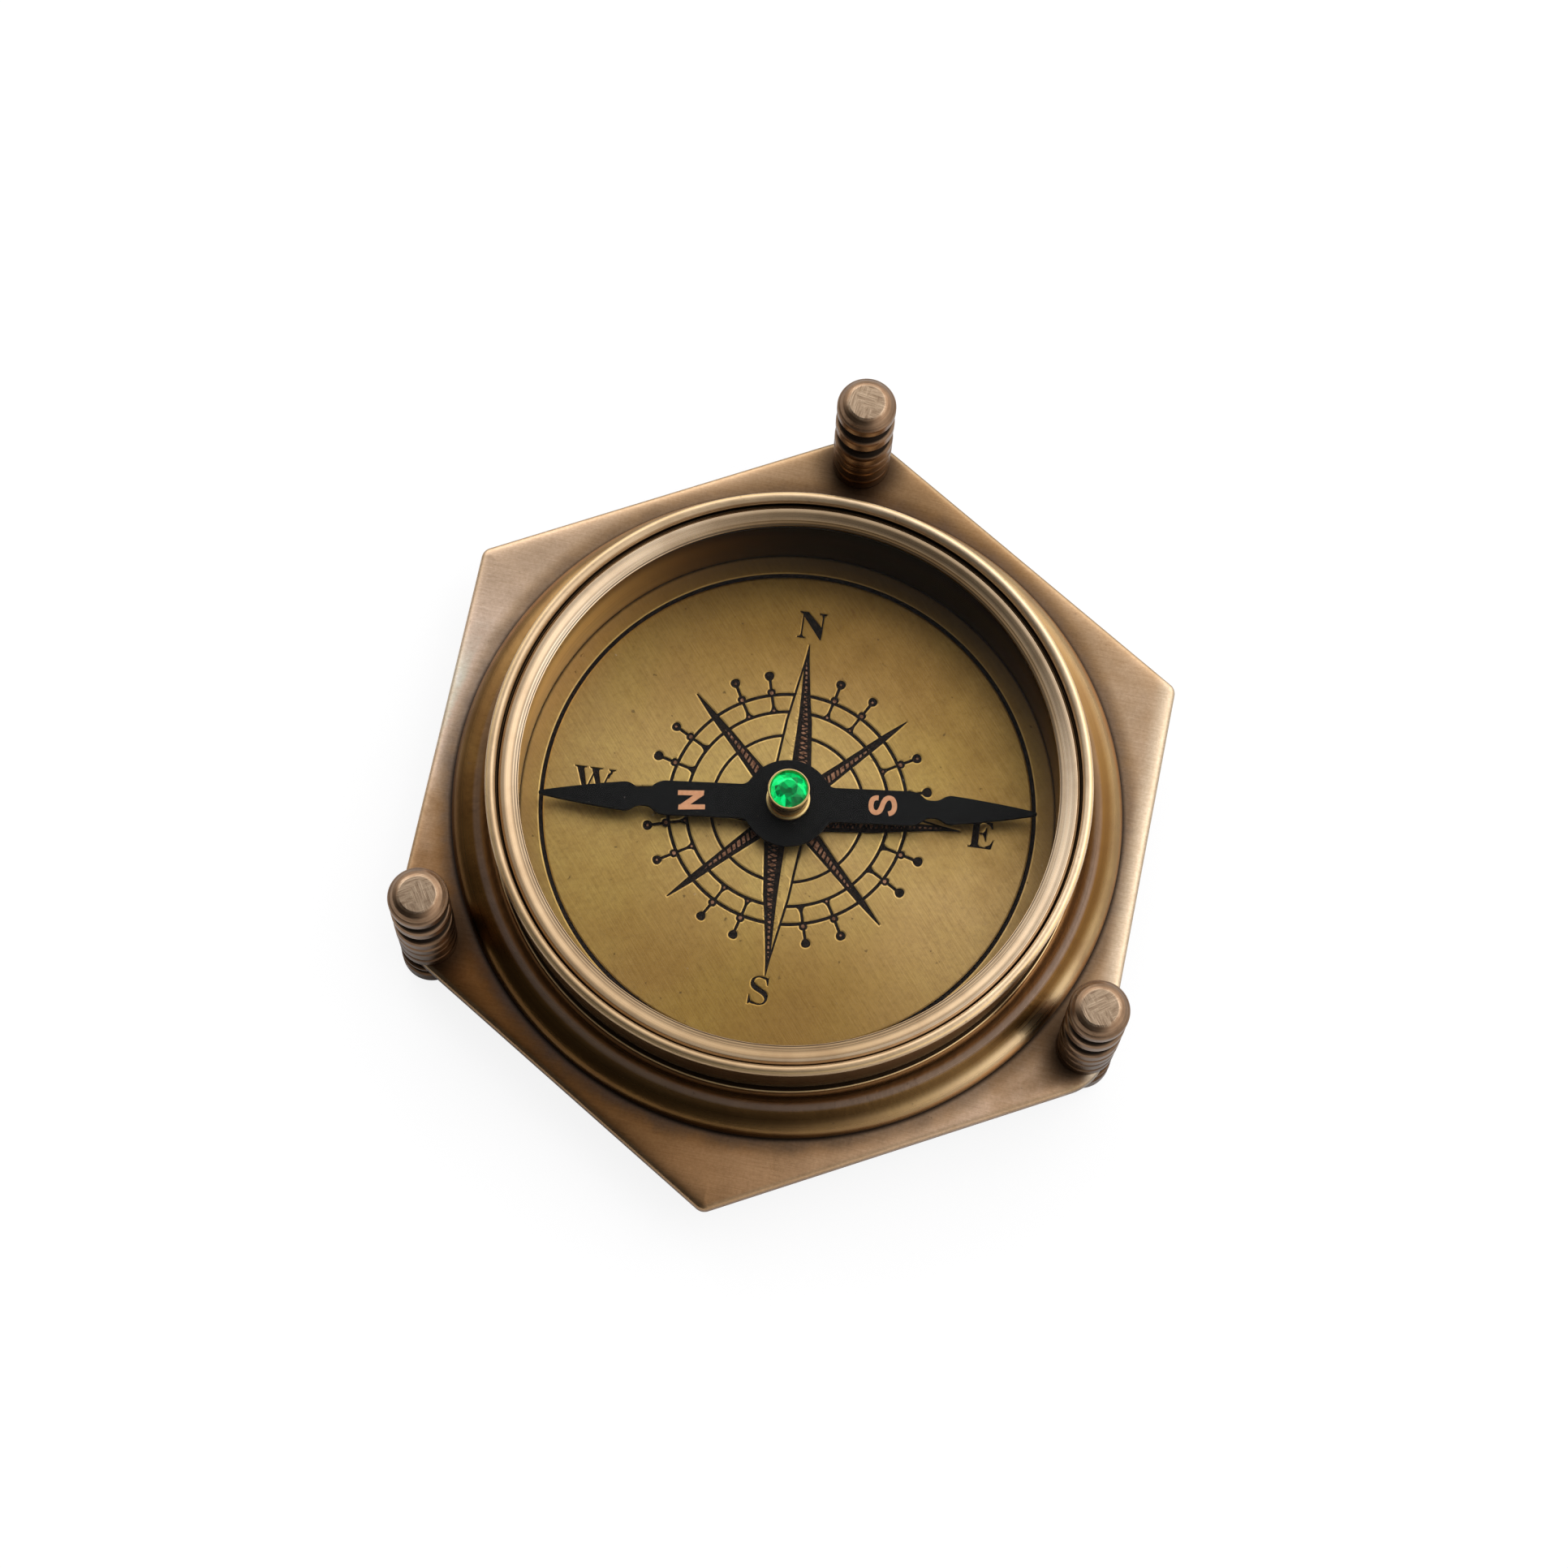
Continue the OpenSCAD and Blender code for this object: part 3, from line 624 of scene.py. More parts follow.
def post_brass():
    m = Mat("brass_post")
    tool = m.turned(radial=8.0, axial=5.0, around=0.8)
    mott = m.noise(scale=0.6)
    col = m.mottle((0.26, 0.155, 0.09), (0.36, 0.23, 0.14), tool, 0.35, 0.65)
    col = m.mottle(col, (0.16, 0.092, 0.052), mott, 0.42, 0.72, strength=0.6)
    col = m.shade(col, m.span(m.z, PLATE_TOP + 2.0, PLATE_TOP + 12.0, 0.46, 1.0))
    # painted shade: the grooves are dark, except on the crown
    crown_z = PLATE_TOP + POST_H
    top = m.rise(m.z, crown_z - 0.95, crown_z - 0.75)
    post_groove_shade = m.times(m.fall(m.radius, 2.80, 3.12, peak=0.98), m.invert(top))
    col = m.mix(col, (0.022, 0.016, 0.012), post_groove_shade)
    # the flat top is worn bright, with file marks in two directions
    along_y = m.noise(stretch=(6.5, 0.5, 1.0), rough=0.7)
    along_x = m.noise(stretch=(0.5, 6.5, 1.0), rough=0.7)
    areas = m.level(m.noise(scale=0.45, detail=2, rough=0.5), 0.46, 0.54)
    brush = m.fmix(along_y, along_x, areas)
    worn = m.times(m.fall(m.shift(m.radius, mott, 0.9), 1.85, 2.25), top)
    crown = m.mottle((0.22, 0.135, 0.08), (0.66, 0.49, 0.34), brush, 0.32, 0.68)
    col = m.mix(col, crown, worn)
    rough = m.fmix(m.rough_by(tool, 0.25, 0.38), 0.7, post_groove_shade)
    return m.finish(col, rough, m.relief((tool, 0.25, 0.03),
                                         (m.times(brush, worn), 0.6, 0.04)))


def needle_black():
    m = Mat("needle_black")
    grain = m.noise(scale=1.4)
    brush = m.noise(stretch=(0.4, 6.0, 1.0))
    col = m.mottle((0.004, 0.004, 0.0045), (0.0085, 0.0085, 0.009), grain, 0.3, 0.7)
    col = m.specks(col, (0.13, 0.11, 0.10), m.noise(scale=2.4, detail=3, rough=0.5),
                   0.715, 0.745, strength=0.6)
    return m.finish(col, m.fmix(0.30, 0.50, brush),
                    m.relief((brush, 0.08, 0.02), (grain, 0.15, 0.03)),
                    metallic=0.0, Specular_IOR_Level=0.10)


def gasket_black():
    m = Mat("gasket_black")
    grain = m.noise(scale=1.5)
    col = m.mix((0.010, 0.009, 0.008), (0.03, 0.026, 0.02), grain)
    return m.finish(col, m.fmix(0.6, 0.8, grain), m.relief((grain, 0.4, 0.03)), metallic=0.0)


def clear_glass():
    """Thin-looking glass: a weak reflection on outer faces only, and a little dust."""
    m = Mat("clear_glass")
    clear = m.node("ShaderNodeBsdfTransparent", {"Color": (0.985, 0.99, 0.985)}).outputs[0]
    mirror = m.node("ShaderNodeBsdfGlossy", {"Color": (1, 1, 1), "Roughness": 0.02}).outputs[0]
    powder = m.node("ShaderNodeBsdfDiffuse", {"Color": (0.85, 0.85, 0.82)}).outputs[0]
    fresnel = m.node("ShaderNodeFresnel", {"IOR": 1.18}).outputs[0]
    back = m.node("ShaderNodeNewGeometry").outputs["Backfacing"]
    glass = m.mix_shader(m.times(fresnel, m.invert(back), 0.9), clear, mirror)
    dust = m.level(m.noise(scale=1.3, detail=2, rough=0.5), 0.775, 0.80)
    return m.output(m.mix_shader(m.times(dust, 0.10), glass, powder))


def green_stone():
    """Painted light: each facet has its own brightness, broken up by cells inside the stone,
    and the stone glows with its own colour.
    """
    m = Mat("green_stone")
    facet_light = m.node("ShaderNodeAttribute", attribute_name="facet_light").outputs["Fac"]
    grain = m.noise(scale=0.9, detail=3)
    cells = m.node("ShaderNodeTexVoronoi", {"Vector": m.mm, "Scale": 0.95, "Randomness": 0.9})
    cell = m.node("ShaderNodeSeparateColor", {0: cells.outputs["Color"]}).outputs[0]
    facet_light = m.math("MULTIPLY_ADD", facet_light, 0.45, m.times(cell, 0.6))
    col = m.ramp(m.shift(facet_light, grain, 0.2), [
        (0.0, (0.0, 0.045, 0.012)), (0.35, (0.0, 0.20, 0.045)),
        (0.7, (0.0, 0.56, 0.12)), (1.0, (0.005, 0.86, 0.24))])
    # painted light: the stone glows with its own colour
    return m.finish(col, 0.08, m.relief((grain, 0.1, 0.03)), metallic=0.0, Coat_Weight=0.08,
                    Coat_Roughness=0.03, Specular_IOR_Level=0.16, Emission_Color=col,
                    Emission_Strength=0.72)


PLATE_BRASS = plate_brass()
BOWL_BRASS = bowl_brass()
BEZEL_BRASS = bezel_brass()
SLEEVE_BRASS = sleeve_brass()
DIAL_BRASS = dial_brass()
DIAL_INK = mottled(
    "dial_ink", noise=dict(scale=2.2, rough=0.65),
    colors=((0.009, 0.006, 0.005), (0.05, 0.028, 0.018)), band=(0.45, 0.8, 0.8),
    rough=(0.40, 0.65), bump=(0.3, 0.03), metallic=0.0, Specular_IOR_Level=0.12)
DIAL_COPPER = mottled(
    "dial_copper", noise=dict(scale=2.6), colors=((0.10, 0.045, 0.026), (0.42, 0.215, 0.13)),
    band=(0.35, 0.62), rough=(0.35, 0.5), bump=(0.4, 0.03), metallic=1.0)
POST_BRASS = post_brass()
BRIGHT_BRASS = turned_metal("brass_bright", colors=((0.66, 0.48, 0.22), (0.50, 0.34, 0.14)),
                            rough=(0.16, 0.36))
STEEL = turned_metal("steel", colors=((0.50, 0.49, 0.47), (0.36, 0.35, 0.34)),
                     rough=(0.25, 0.42))
NEEDLE_BLACK = needle_black()
LETTER_COPPER = mottled(
    "needle_copper", noise=dict(scale=2.5), colors=((0.80, 0.40, 0.215), (0.70, 0.31, 0.15)),
    band=(0.3, 0.7), rough=(0.45, 0.65), bump=(0.3, 0.02), metallic=0.25)
GASKET_BLACK = gasket_black()
CLEAR_GLASS = clear_glass()
GREEN_STONE = green_stone()
SCREW_BRASS = turned_metal("brass_screw", colors=((0.45, 0.31, 0.16), (0.32, 0.21, 0.10)),
                           rough=(0.16, 0.36))

# ---- base plate --------------------------------------------------------------------
# (inset from the outline, z from the plate's top): rolled upper edge, small lower one
PLATE_EDGE = [
    (3.0, 0.0), (2.4, -0.004), (2.0, -0.012), (1.65, -0.024), (1.35, -0.04), (1.08, -0.06),
    (0.85, -0.085), (0.65, -0.115), (0.48, -0.155), (0.34, -0.205), (0.22, -0.27),
    (0.13, -0.345), (0.06, -0.44), (0.015, -0.56), (0.0, -0.7), (0.0, -1.62), (0.03, -1.76),
    (0.10, -1.88), (0.22, -1.96), (0.4, -PLATE_T), (3.0, -PLATE_T)]
SCREW_RING_R = 33.8
# holes as (x, y, radius at the top, radius at the underside)
PLATE_HOLES = [(SCREW_RING_R * math.cos(math.radians(a)),
                SCREW_RING_R * math.sin(math.radians(a)), 1.05, 2.0)
               for a in (45, 135, 225, 315)] + [(0, 0, PIVOT_HOLE_R, 1.85)]
HOLE_STEPS = 40
STUD_HOLE_R = 1.6


def hexagon_loop(inset, arc_steps=14, side_steps=12):
    corners = []
    for i in range(6):
        angle = 30 + 60 * i
        radius = max(CORNER_R[i % 2] - inset, 0.06)
        reach = (FLAT_R - inset - radius) / math.cos(math.radians(30))
        corners.append(arc(reach * math.cos(math.radians(angle)),
                           reach * math.sin(math.radians(angle)),
                           radius, angle - 30, angle + 30, arc_steps))
    points = []
    for corner, following in zip(corners, corners[1:] + corners[:1]):
        points += corner
        (x0, y0), (x1, y1) = corner[-1], following[0]
        points += [(x0 + (x1 - x0) * k / side_steps, y0 + (y1 - y0) * k / side_steps)
                   for k in range(1, side_steps)]
    return points


def drill_studs(verts, faces):
    """Cut the studs' holes, which run through the rolled edge, from the closed plate."""
    cut_verts, cut_faces = [], []
    for cx, cy in POST_CENTRES:
        low = list(range(len(cut_verts), len(cut_verts) + HOLE_STEPS))
        high = [v + HOLE_STEPS for v in low]
        for z in (FOOT_H - 1, PLATE_TOP + 1):
            cut_verts += [(x, y, z) for x, y in circle(STUD_HOLE_R, HOLE_STEPS, cx, cy)]
        for k in range(HOLE_STEPS):
            k2 = (k + 1) % HOLE_STEPS
            cut_faces.append([low[k], low[k2], high[k2], high[k]])
        cut_faces += [low[::-1], high]
    blank_mesh = bpy.data.meshes.new("plate_blank")
    blank_mesh.from_pydata(verts, [], faces)
    cutter_mesh = bpy.data.meshes.new("stud_cutters")
    cutter_mesh.from_pydata(cut_verts, [], cut_faces)
    blank, cutter = link_new("plate_blank", blank_mesh), link_new("stud_cutters", cutter_mesh)
    cut = blank.modifiers.new("studs", "BOOLEAN")
    cut.operation, cut.solver, cut.object = "DIFFERENCE", "EXACT", cutter
    done = evaluated_mesh(blank)
    verts = [tuple(v.co) for v in done.vertices]
    faces = [list(p.vertices) for p in done.polygons]
    for ob in (blank, cutter):
        bpy.data.objects.remove(ob)
    for mesh in (blank_mesh, cutter_mesh, done):
        bpy.data.meshes.remove(mesh)
    return verts, faces


def base_plate():
    loops = [hexagon_loop(inset) for inset, _ in PLATE_EDGE]
    count = len(loops[0])
    verts = [(x, y, PLATE_TOP + z) for loop, (_, z) in zip(loops, PLATE_EDGE)
             for x, y in loop]
    faces = []
    for i in range(len(loops) - 1):
        for k in range(count):
            k2 = (k + 1) % count
            faces.append([i * count + k, (i + 1) * count + k,
                          (i + 1) * count + k2, i * count + k2])

    def add_ring(points, z):
        verts.extend((p[0], p[1], z) for p in points)
        return list(range(len(verts) - HOLE_STEPS, len(verts)))

    def join(upper, lower):
        for k in range(HOLE_STEPS):
            k2 = (k + 1) % HOLE_STEPS
            faces.append([upper[k], upper[k2], lower[k2], lower[k]])

    # flat faces, with the holes of the screws and the pivot left open
    tops = [add_ring(circle(top_r, HOLE_STEPS, x, y), PLATE_TOP)
            for x, y, top_r, _ in PLATE_HOLES]
    fill_flat(verts, faces, [list(range(count))] + tops, up=True)
    bottoms = [add_ring(circle(low_r, HOLE_STEPS, x, y), FOOT_H)
               for x, y, _, low_r in PLATE_HOLES]
    last = (len(loops) - 1) * count
    fill_flat(verts, faces, [list(range(last, last + count))] + bottoms, up=False)
    # straight bores, opening at 45 degrees to the underside
    for (_, _, top_r, low_r), top, bottom in zip(PLATE_HOLES, tops, bottoms):
        middle = add_ring([verts[v] for v in top], FOOT_H + (low_r - top_r))
        join(top, middle)
        join(middle, bottom)
    verts, faces = drill_studs(verts, faces)
    add("plate_hexagon", verts, faces, PLATE_BRASS, CASE, node="base_plate",
        slot="plate_brass", sharp=28)


# ---- bowl, sleeve, gasket, glass, bezel ----------------------------------------------
# Profiles are (radius, z above the plate).
BOWL = [
    (30.2, 0.0), (36.3, 0.0), (36.36, 0.06), (36.4, 0.2),
    # ovolo of the foot
    *arc(33.1, 0.4, 3.3, 0, 90, 25, radius_y=2.5)[:-1],
    (33.1, 2.9), (32.9, 2.89), (32.7, 2.865), (32.5, 2.835), (32.35, 2.82), (32.2, 2.825),
    (32.1, 2.85), (32.05, 2.9),
    # ledge and undercut
    (32.05, 3.12), (32.04, 3.18), (32.01, 3.24), (31.96, 3.28), (31.9, 3.3), (31.5, 3.3),
    (31.42, 3.33), (31.36, 3.42), (31.35, 3.55), (31.35, 4.05), (31.4, 4.2), (31.52, 4.36),
    (31.66, 4.5), (31.73, 4.62),
    # wall
    (31.75, 4.8), (31.75, 6.5), (31.75, 9.0), (31.75, 11.3),
    # rim bead, from its outer foot over the top to the inner lip
    *arc(31.69, 12.0, 0.55, -82, 205, 29),
    (31.12, 11.6), (31.12, 10.98), (31.1, 10.92), (31.06, 10.9), (31.0, 10.9), (31.0, 9.7),
    (30.2, 9.7)]
SLEEVE = [
    (WINDOW_R, DIAL_T), (DIAL_R, DIAL_T), (DIAL_R, SLEEVE_TOP), (29.25, SLEEVE_TOP),
    (29.15, 9.44), (WINDOW_R, 9.35)]
GASKET = [
    (WINDOW_R, SLEEVE_TOP), (GLASS_R, SLEEVE_TOP), (GLASS_R, GLASS_LOW), (WINDOW_R, GLASS_LOW)]
GLASS = [
    (0, GLASS_LOW), (29.95, GLASS_LOW), (GLASS_R, 9.85), (GLASS_R, 10.85),
    (29.95, GLASS_TOP), (0, GLASS_TOP)]
BEZEL_OUTER = [
    (28.76, GLASS_TOP), (30.2, GLASS_TOP), (30.2, 9.78), (30.28, 9.75), (30.9, 9.75),
    (30.95, 9.8), (30.95, 10.78), (30.93, 10.83), (30.88, 10.86), (30.88, 11.2),
    (30.872, 11.25), (30.85, 11.295), (30.81, 11.33), (30.75, 11.36)]
BEZEL_INNER = [
    (29.26, 11.243), (29.22, 11.236), (29.15, 11.236), (29.05, 11.232), (28.95, 11.222),
    (28.92, 11.205), (28.895, 11.2), (28.86, 11.21), (28.81, 11.205), (28.76, 11.185),
    (28.72, 11.14), (28.7, 11.08), (28.7, 11.04)]


def bezel_crown(steps=30):
    """A short rise, a narrow flat land, then a slow slope down to the opening."""
    start_r, start_z = BEZEL_OUTER[-1]
    width, lift, drop = 1.45, 0.105, 0.205
    points = []
    for k in range(1, steps + 1):
        along = k / steps
        up = min(1.0, along / 0.14)
        down = max(0.0, (along - 0.30) / 0.70)
        points.append((start_r - width * along, start_z + lift * up * up * (3 - 2 * up)
                       - drop * down * down * (3 - 2 * down)))
    return points


def bowl_and_cover():
    lathe("bowl_turned", BOWL, 384, BOWL_BRASS, CASE, node="bowl", slot="bowl_brass", sharp=40)
    lathe("sleeve_ring", SLEEVE, 300, SLEEVE_BRASS, CASE, node="spacer_ring",
          slot="sleeve_brass")
    lathe("gasket_ring", GASKET, 240, GASKET_BLACK, CASE, node="glass_gasket", slot="gasket")
    lathe("glass_disc", GLASS, 240, CLEAR_GLASS, CASE, closed=False, node="glass",
          slot="glass")
    lathe("bezel_turned", BEZEL_OUTER + bezel_crown() + BEZEL_INNER, 384, BEZEL_BRASS, CASE,
          node="bezel_ring", slot="bezel_brass", sharp=40)


# ---- dial --------------------------------------------------------------------------
# Outlines (x, y) in the dial's frame, N toward +Y.
LETTER_N = [
    [(-1.28, 19.95), (-1.12, 19.95), (-1.12, 22.1), (-1.28, 22.3)],
    [(0.90, 20.3), (1.07, 20.3), (1.07, 22.4), (0.90, 22.4)],
    [(-1.65, 22.66), (-1.62, 22.55), (-1.35, 22.42), (-1.1, 22.05), (0.87, 19.6),
     (1.03, 19.6), (1.07, 20.9), (-0.72, 22.66)],
    [(-1.66, 19.62), (-0.74, 19.62), (-0.78, 19.72), (-1.02, 19.8), (-1.12, 20.05),
     (-1.28, 20.05), (-1.38, 19.8), (-1.62, 19.72)],
    [(0.5, 22.66), (0.52, 22.56), (0.78, 22.48), (0.9, 22.2), (1.07, 22.2), (1.16, 22.46),
     (1.36, 22.56), (1.36, 22.66)]]
LETTER_E = [
    [(20.22, -1.35), (20.95, -1.35), (20.95, 1.4), (20.22, 1.4)],
    [(19.85, -1.5), (22.42, -1.5), (22.42, -1.36), (21.2, -1.34), (20.95, -1.1),
     (20.22, -1.1), (20.1, -1.32), (19.85, -1.38)],
    [(22.25, -1.45), (22.42, -1.5), (22.62, -0.5), (22.5, -0.48), (22.25, -1.0), (21.7, -1.3)],
    [(19.9, 1.38), (20.12, 1.34), (20.22, 1.15), (20.95, 1.15), (21.2, 1.38), (22.3, 1.38),
     (22.3, 1.53), (19.9, 1.53)],
    [(21.6, 1.36), (22.15, 1.05), (22.3, 0.75), (22.4, 0.78), (22.34, 1.5), (22.15, 1.5)],
    [(20.9, 0.1), (21.35, 0.08), (21.58, -0.3), (21.68, -0.72), (21.78, -0.7), (21.76, 0.9),
     (21.66, 0.9), (21.55, 0.5), (21.35, 0.25), (20.9, 0.24)]]
# curves of the S: start, control, end, steps
S_CURVES = [
    ((-0.30, -18.96), (-1.32, -18.98), (-1.30, -19.85), 8),
    ((-1.30, -19.85), (-1.28, -20.35), (-0.55, -20.66), 6),
    ((-0.55, -20.66), (0.42, -21.05), (0.40, -21.45), 6),
    ((0.40, -21.45), (0.36, -21.98), (-0.34, -22.0), 8),
    ((-0.34, -22.13), (0.72, -22.14), (0.74, -21.15), 8),
    ((0.74, -21.15), (0.76, -20.68), (0.1, -20.35), 6),
    ((0.1, -20.35), (-0.95, -19.86), (-0.93, -19.6), 6),
    ((-0.93, -19.6), (-0.88, -19.1), (-0.30, -19.1), 8)]
S_SERIFS = [
    [(-0.34, -18.96), (0.28, -19.02), (0.48, -19.08), (0.56, -19.0), (0.62, -19.0),
     (0.60, -19.92), (0.5, -19.9), (0.3, -19.3), (-0.34, -19.1)],
    [(-0.3, -22.13), (-0.9, -22.05), (-1.15, -21.98), (-1.3, -22.12), (-1.4, -22.1),
     (-1.36, -21.15), (-1.26, -21.15), (-1.05, -21.75), (-0.3, -22.0)]]
W_STROKES = [
    [(-23.32, 1.62), (-22.55, 1.62), (-21.82, -1.3), (-22.22, -1.32)],
    [(-22.2, -1.3), (-21.98, -1.3), (-21.24, 1.2), (-21.42, 1.2)]]
W_PITCH = 1.62
W_SERIFS = [
    [(-23.55, 1.66), (-23.55, 1.56), (-23.3, 1.5), (-23.1, 1.3), (-22.5, 1.3), (-22.45, 1.5),
     (-22.22, 1.56), (-22.22, 1.66)],
    [(-21.86, 1.66), (-21.86, 1.56), (-21.62, 1.5), (-21.5, 1.3), (-20.86, 1.3),
     (-20.8, 1.5), (-20.48, 1.56), (-20.48, 1.66)],
    [(-19.8, 1.66), (-19.8, 1.56), (-19.62, 1.5), (-19.62, 1.1), (-19.42, 1.1),
     (-19.34, 1.46), (-19.05, 1.56), (-19.05, 1.66)],
    [(-19.84, 0.6), (-19.66, 0.6), (-19.44, 1.3), (-19.62, 1.3)]]
# main point of the star, with its plain half and its hatched half
STAR = [(-0.18, 18.85), (-0.40, 17.0), (-0.74, 15.0), (-1.06, 13.0), (-1.55, 10.0),
        (-1.98, 5.0), (-2.28, 2.28), (0, 0), (2.28, 2.28), (1.92, 5.0), (1.34, 10.0),
        (0.95, 12.0), (0.44, 15.0), (0.1, 17.3), (-0.06, 18.85)]
STAR_PLAIN = [(-0.37, 15.9), (-0.80, 13.0), (-1.27, 10.0), (-1.70, 5.0), (-1.98, 2.55),
              (-0.3, 0.9), (-0.24, 5.0), (-0.20, 10.0), (-0.26, 13.0)]
STAR_HATCH = [(-0.22, 16.9), (-0.12, 15.6), (0.03, 14.0), (0.16, 12.0), (0.30, 10.0),
              (0.42, 6.0), (0.5, 1.6), (1.72, 2.4), (1.46, 5.0), (0.86, 10.0), (0.52, 12.0),
              (0.22, 14.4), (-0.06, 16.6)]
# lesser point between two main ones, and its hatched inside
LESSER = [(-0.07, 16.35), (-0.22, 15.0), (-0.40, 13.2), (-0.50, 11.0), (-0.64, 8.3),
          (-0.86, 5.0), (-0.95, 3.0), (0, 2.2), (0.9, 3.0), (0.78, 5.0), (0.60, 8.3),
          (0.48, 11.0), (0.36, 13.2), (0.2, 15.0), (0.07, 16.35)]
LESSER_HATCH = [(-0.03, 11.3), (-0.16, 8.3), (-0.34, 5.0), (-0.42, 3.4), (0.5, 3.4),
                (0.42, 5.0), (0.26, 8.3), (0.12, 10.8)]
# inked rings: radius, width, steps
DIAL_RINGS = [(26.77, 0.46, 300), (13.0, 0.37, 220), (11.0, 0.36, 200), (8.3, 0.34, 160)]
GUIDE, LETTER_GUIDE = 0.15, 0.12        # width of the sloping shoulder round the ink
OUTSIDE, BRASS, INK, COPPER = -1, 0, 1, 2               # the last three are material slots
SHOULDER_DEPTH, COPPER_DEPTH, INK_DEPTH = 0.032, 0.06, 0.12


def place(points, degrees, shift=0.0):
    """Shift along x, then turn about the axis."""
    c, s = math.cos(math.radians(degrees)), math.sin(math.radians(degrees))
    return [((x + shift) * c - y * s, (x + shift) * s + y * c) for x, y in points]


def quadratic(start, control, end, steps):
    return [tuple((1 - t) ** 2 * a + 2 * t * (1 - t) * b + t * t * c
                  for a, b, c in zip(start, control, end))
            for t in [k / steps for k in range(steps + 1)]]


def grown(outline, distance):
    """Outline moved outward, with mitres capped."""
    side = 1 if double_area(outline) > 0 else -1
    out = []
    for i, point in enumerate(outline):
        before, here = Vector(outline[i - 1]), Vector(point)
        arriving, leaving = here - before, Vector(outline[(i + 1) % len(outline)]) - here
        if arriving.length < 1e-9 or leaving.length < 1e-9:
            out.append(point)
            continue
        normal = Vector((arriving.y, -arriving.x)).normalized() * side
        mitre = normal + Vector((leaving.y, -leaving.x)).normalized() * side
        if mitre.length < 1e-6:
            out.append((here.x + normal.x * distance, here.y + normal.y * distance))
            continue
        mitre.normalize()
        reach = min(distance / max(mitre.dot(normal), 0.35), 2.2 * distance)
        out.append((here.x + mitre.x * reach, here.y + mitre.y * reach))
    return out


def letter_shapes():
    """Upright serif capitals, about 3 mm tall."""
    letter_s = [p for curve in S_CURVES for p in quadratic(*curve)]
    letter_w = [[(x + shift, y) for x, y in stroke]
                for shift in (0.0, W_PITCH) for stroke in W_STROKES]
    return LETTER_N + LETTER_E + [letter_s] + S_SERIFS + letter_w + W_SERIFS


def slanted_bar(x0, x1, y, width, slope):
    return [(x0, y + x0 * slope), (x1, y + x1 * slope),
            (x1, y + width + x1 * slope), (x0, y + width + x0 * slope)]


def star_point(outline, parts, degrees, shift=0.0):
    shapes = [(outline, "star"), *parts, (grown(outline, GUIDE), "guide")]
    return [(place(points, degrees, shift), kind) for points, kind in shapes]


def dial_shapes():
    """Everything on the dial as (outline, kind), with the unevenness of hand work."""
    rng = random.Random(7)
    shapes = [(circle(DIAL_R, 240), "disc"), (circle(PIVOT_HOLE_R, 40), "hole")]
    for i, (radius, width, steps) in enumerate(DIAL_RINGS):
        half = width / 2
        for offset, kind in ((half, f"outer{i}"), (-half, f"inner{i}"),
                             (half + GUIDE, "guide"), (-half - GUIDE, "guide")):
            shapes.append((circle(radius + offset, steps), kind))
    for quarter in range(4):
        # main point, cross-hatched on one half
        angle = -90 * quarter
        shapes += star_point(STAR, [(STAR_PLAIN, "plain"), (STAR_HATCH, "hatch")], angle,
                             shift=0.03 * math.sin(quarter * 2.1))
        y = 2.6
        while y < 16.5:
            for slope in (0.35, -0.42):
                width = 0.22 + 0.06 * math.sin(7.3 * y)
                bar = slanted_bar(-0.6, 2.0, y + rng.uniform(-0.08, 0.08), width, slope)
                shapes.append((place(bar, angle), "line"))
            y += 0.55
        # lesser point, hatched one way
        angle = -45 - 90 * quarter
        shapes += star_point(LESSER, [(LESSER_HATCH, "hatch")], angle)
        slope = 0.5 if quarter % 2 else -0.5
        y = 4.6 + 0.2 * quarter
        while y < 11.2:
            bar = slanted_bar(-0.5, 0.6, y + rng.uniform(-0.1, 0.1), 0.25, slope)
            shapes.append((place(bar, angle), "line"))
            y += 0.62
    # stemmed dots between the points
    dot_y = 15.28
    for angle in [45 * k + d for k in range(8) for d in (15, 30)]:
        angle = -angle + rng.uniform(-0.35, 0.35)
        dot_r = 0.53 + rng.uniform(-0.03, 0.03)
        lean = rng.uniform(-0.06, 0.06)
        dot = circle(dot_r, 26, lean, dot_y + rng.uniform(-0.08, 0.08), wobble=0.02)
        stem = [(-0.16, 11.1), (0.16, 11.1), (0.15, 13.2), (0.17 + lean, 15.0),
                (-0.16 + lean, 15.0), (-0.17, 13.2)]
        bead = circle(0.46, 24, 0, 13.32, wobble=0.02)
        base = [(-0.62, 11.05), (-0.3, 11.35), (-0.16, 11.75), (0.16, 11.75), (0.3, 11.35),
                (0.62, 11.05)]
        for shape in (dot, stem, bead, base):
            shapes.append((place(shape, angle), "black"))
            shapes.append((place(grown(shape, GUIDE), angle), "guide"))
        # copper eyes: always in the bead, sometimes in the base and in the dot
        shapes.append((place(circle(0.2, 14, 0.02, 13.28), angle), "eye"))
        if rng.random() < 0.6:
            shapes.append((place(circle(0.13, 10, 0.0, 11.22), angle), "eye"))
        if rng.random() < 0.35:
            shapes.append((place(circle(0.13, 10, lean, dot_y), angle), "eye"))
    for shape in letter_shapes():
        shapes += [(shape, "black"), (grown(shape, LETTER_GUIDE), "guide")]
    return shapes


def dial_class(kinds):
    """What a triangle is made of, from the kinds of shape that cover it."""
    if "hole" in kinds or "disc" not in kinds:
        return OUTSIDE
    if "eye" in kinds:
        return COPPER
    if "black" in kinds:
        return INK
    if "star" in kinds:
        if "plain" in kinds:
            return BRASS
        return COPPER if "hatch" in kinds and "line" not in kinds else INK
    for i in range(len(DIAL_RINGS)):
        if f"outer{i}" in kinds and f"inner{i}" not in kinds:
            return INK
    return BRASS


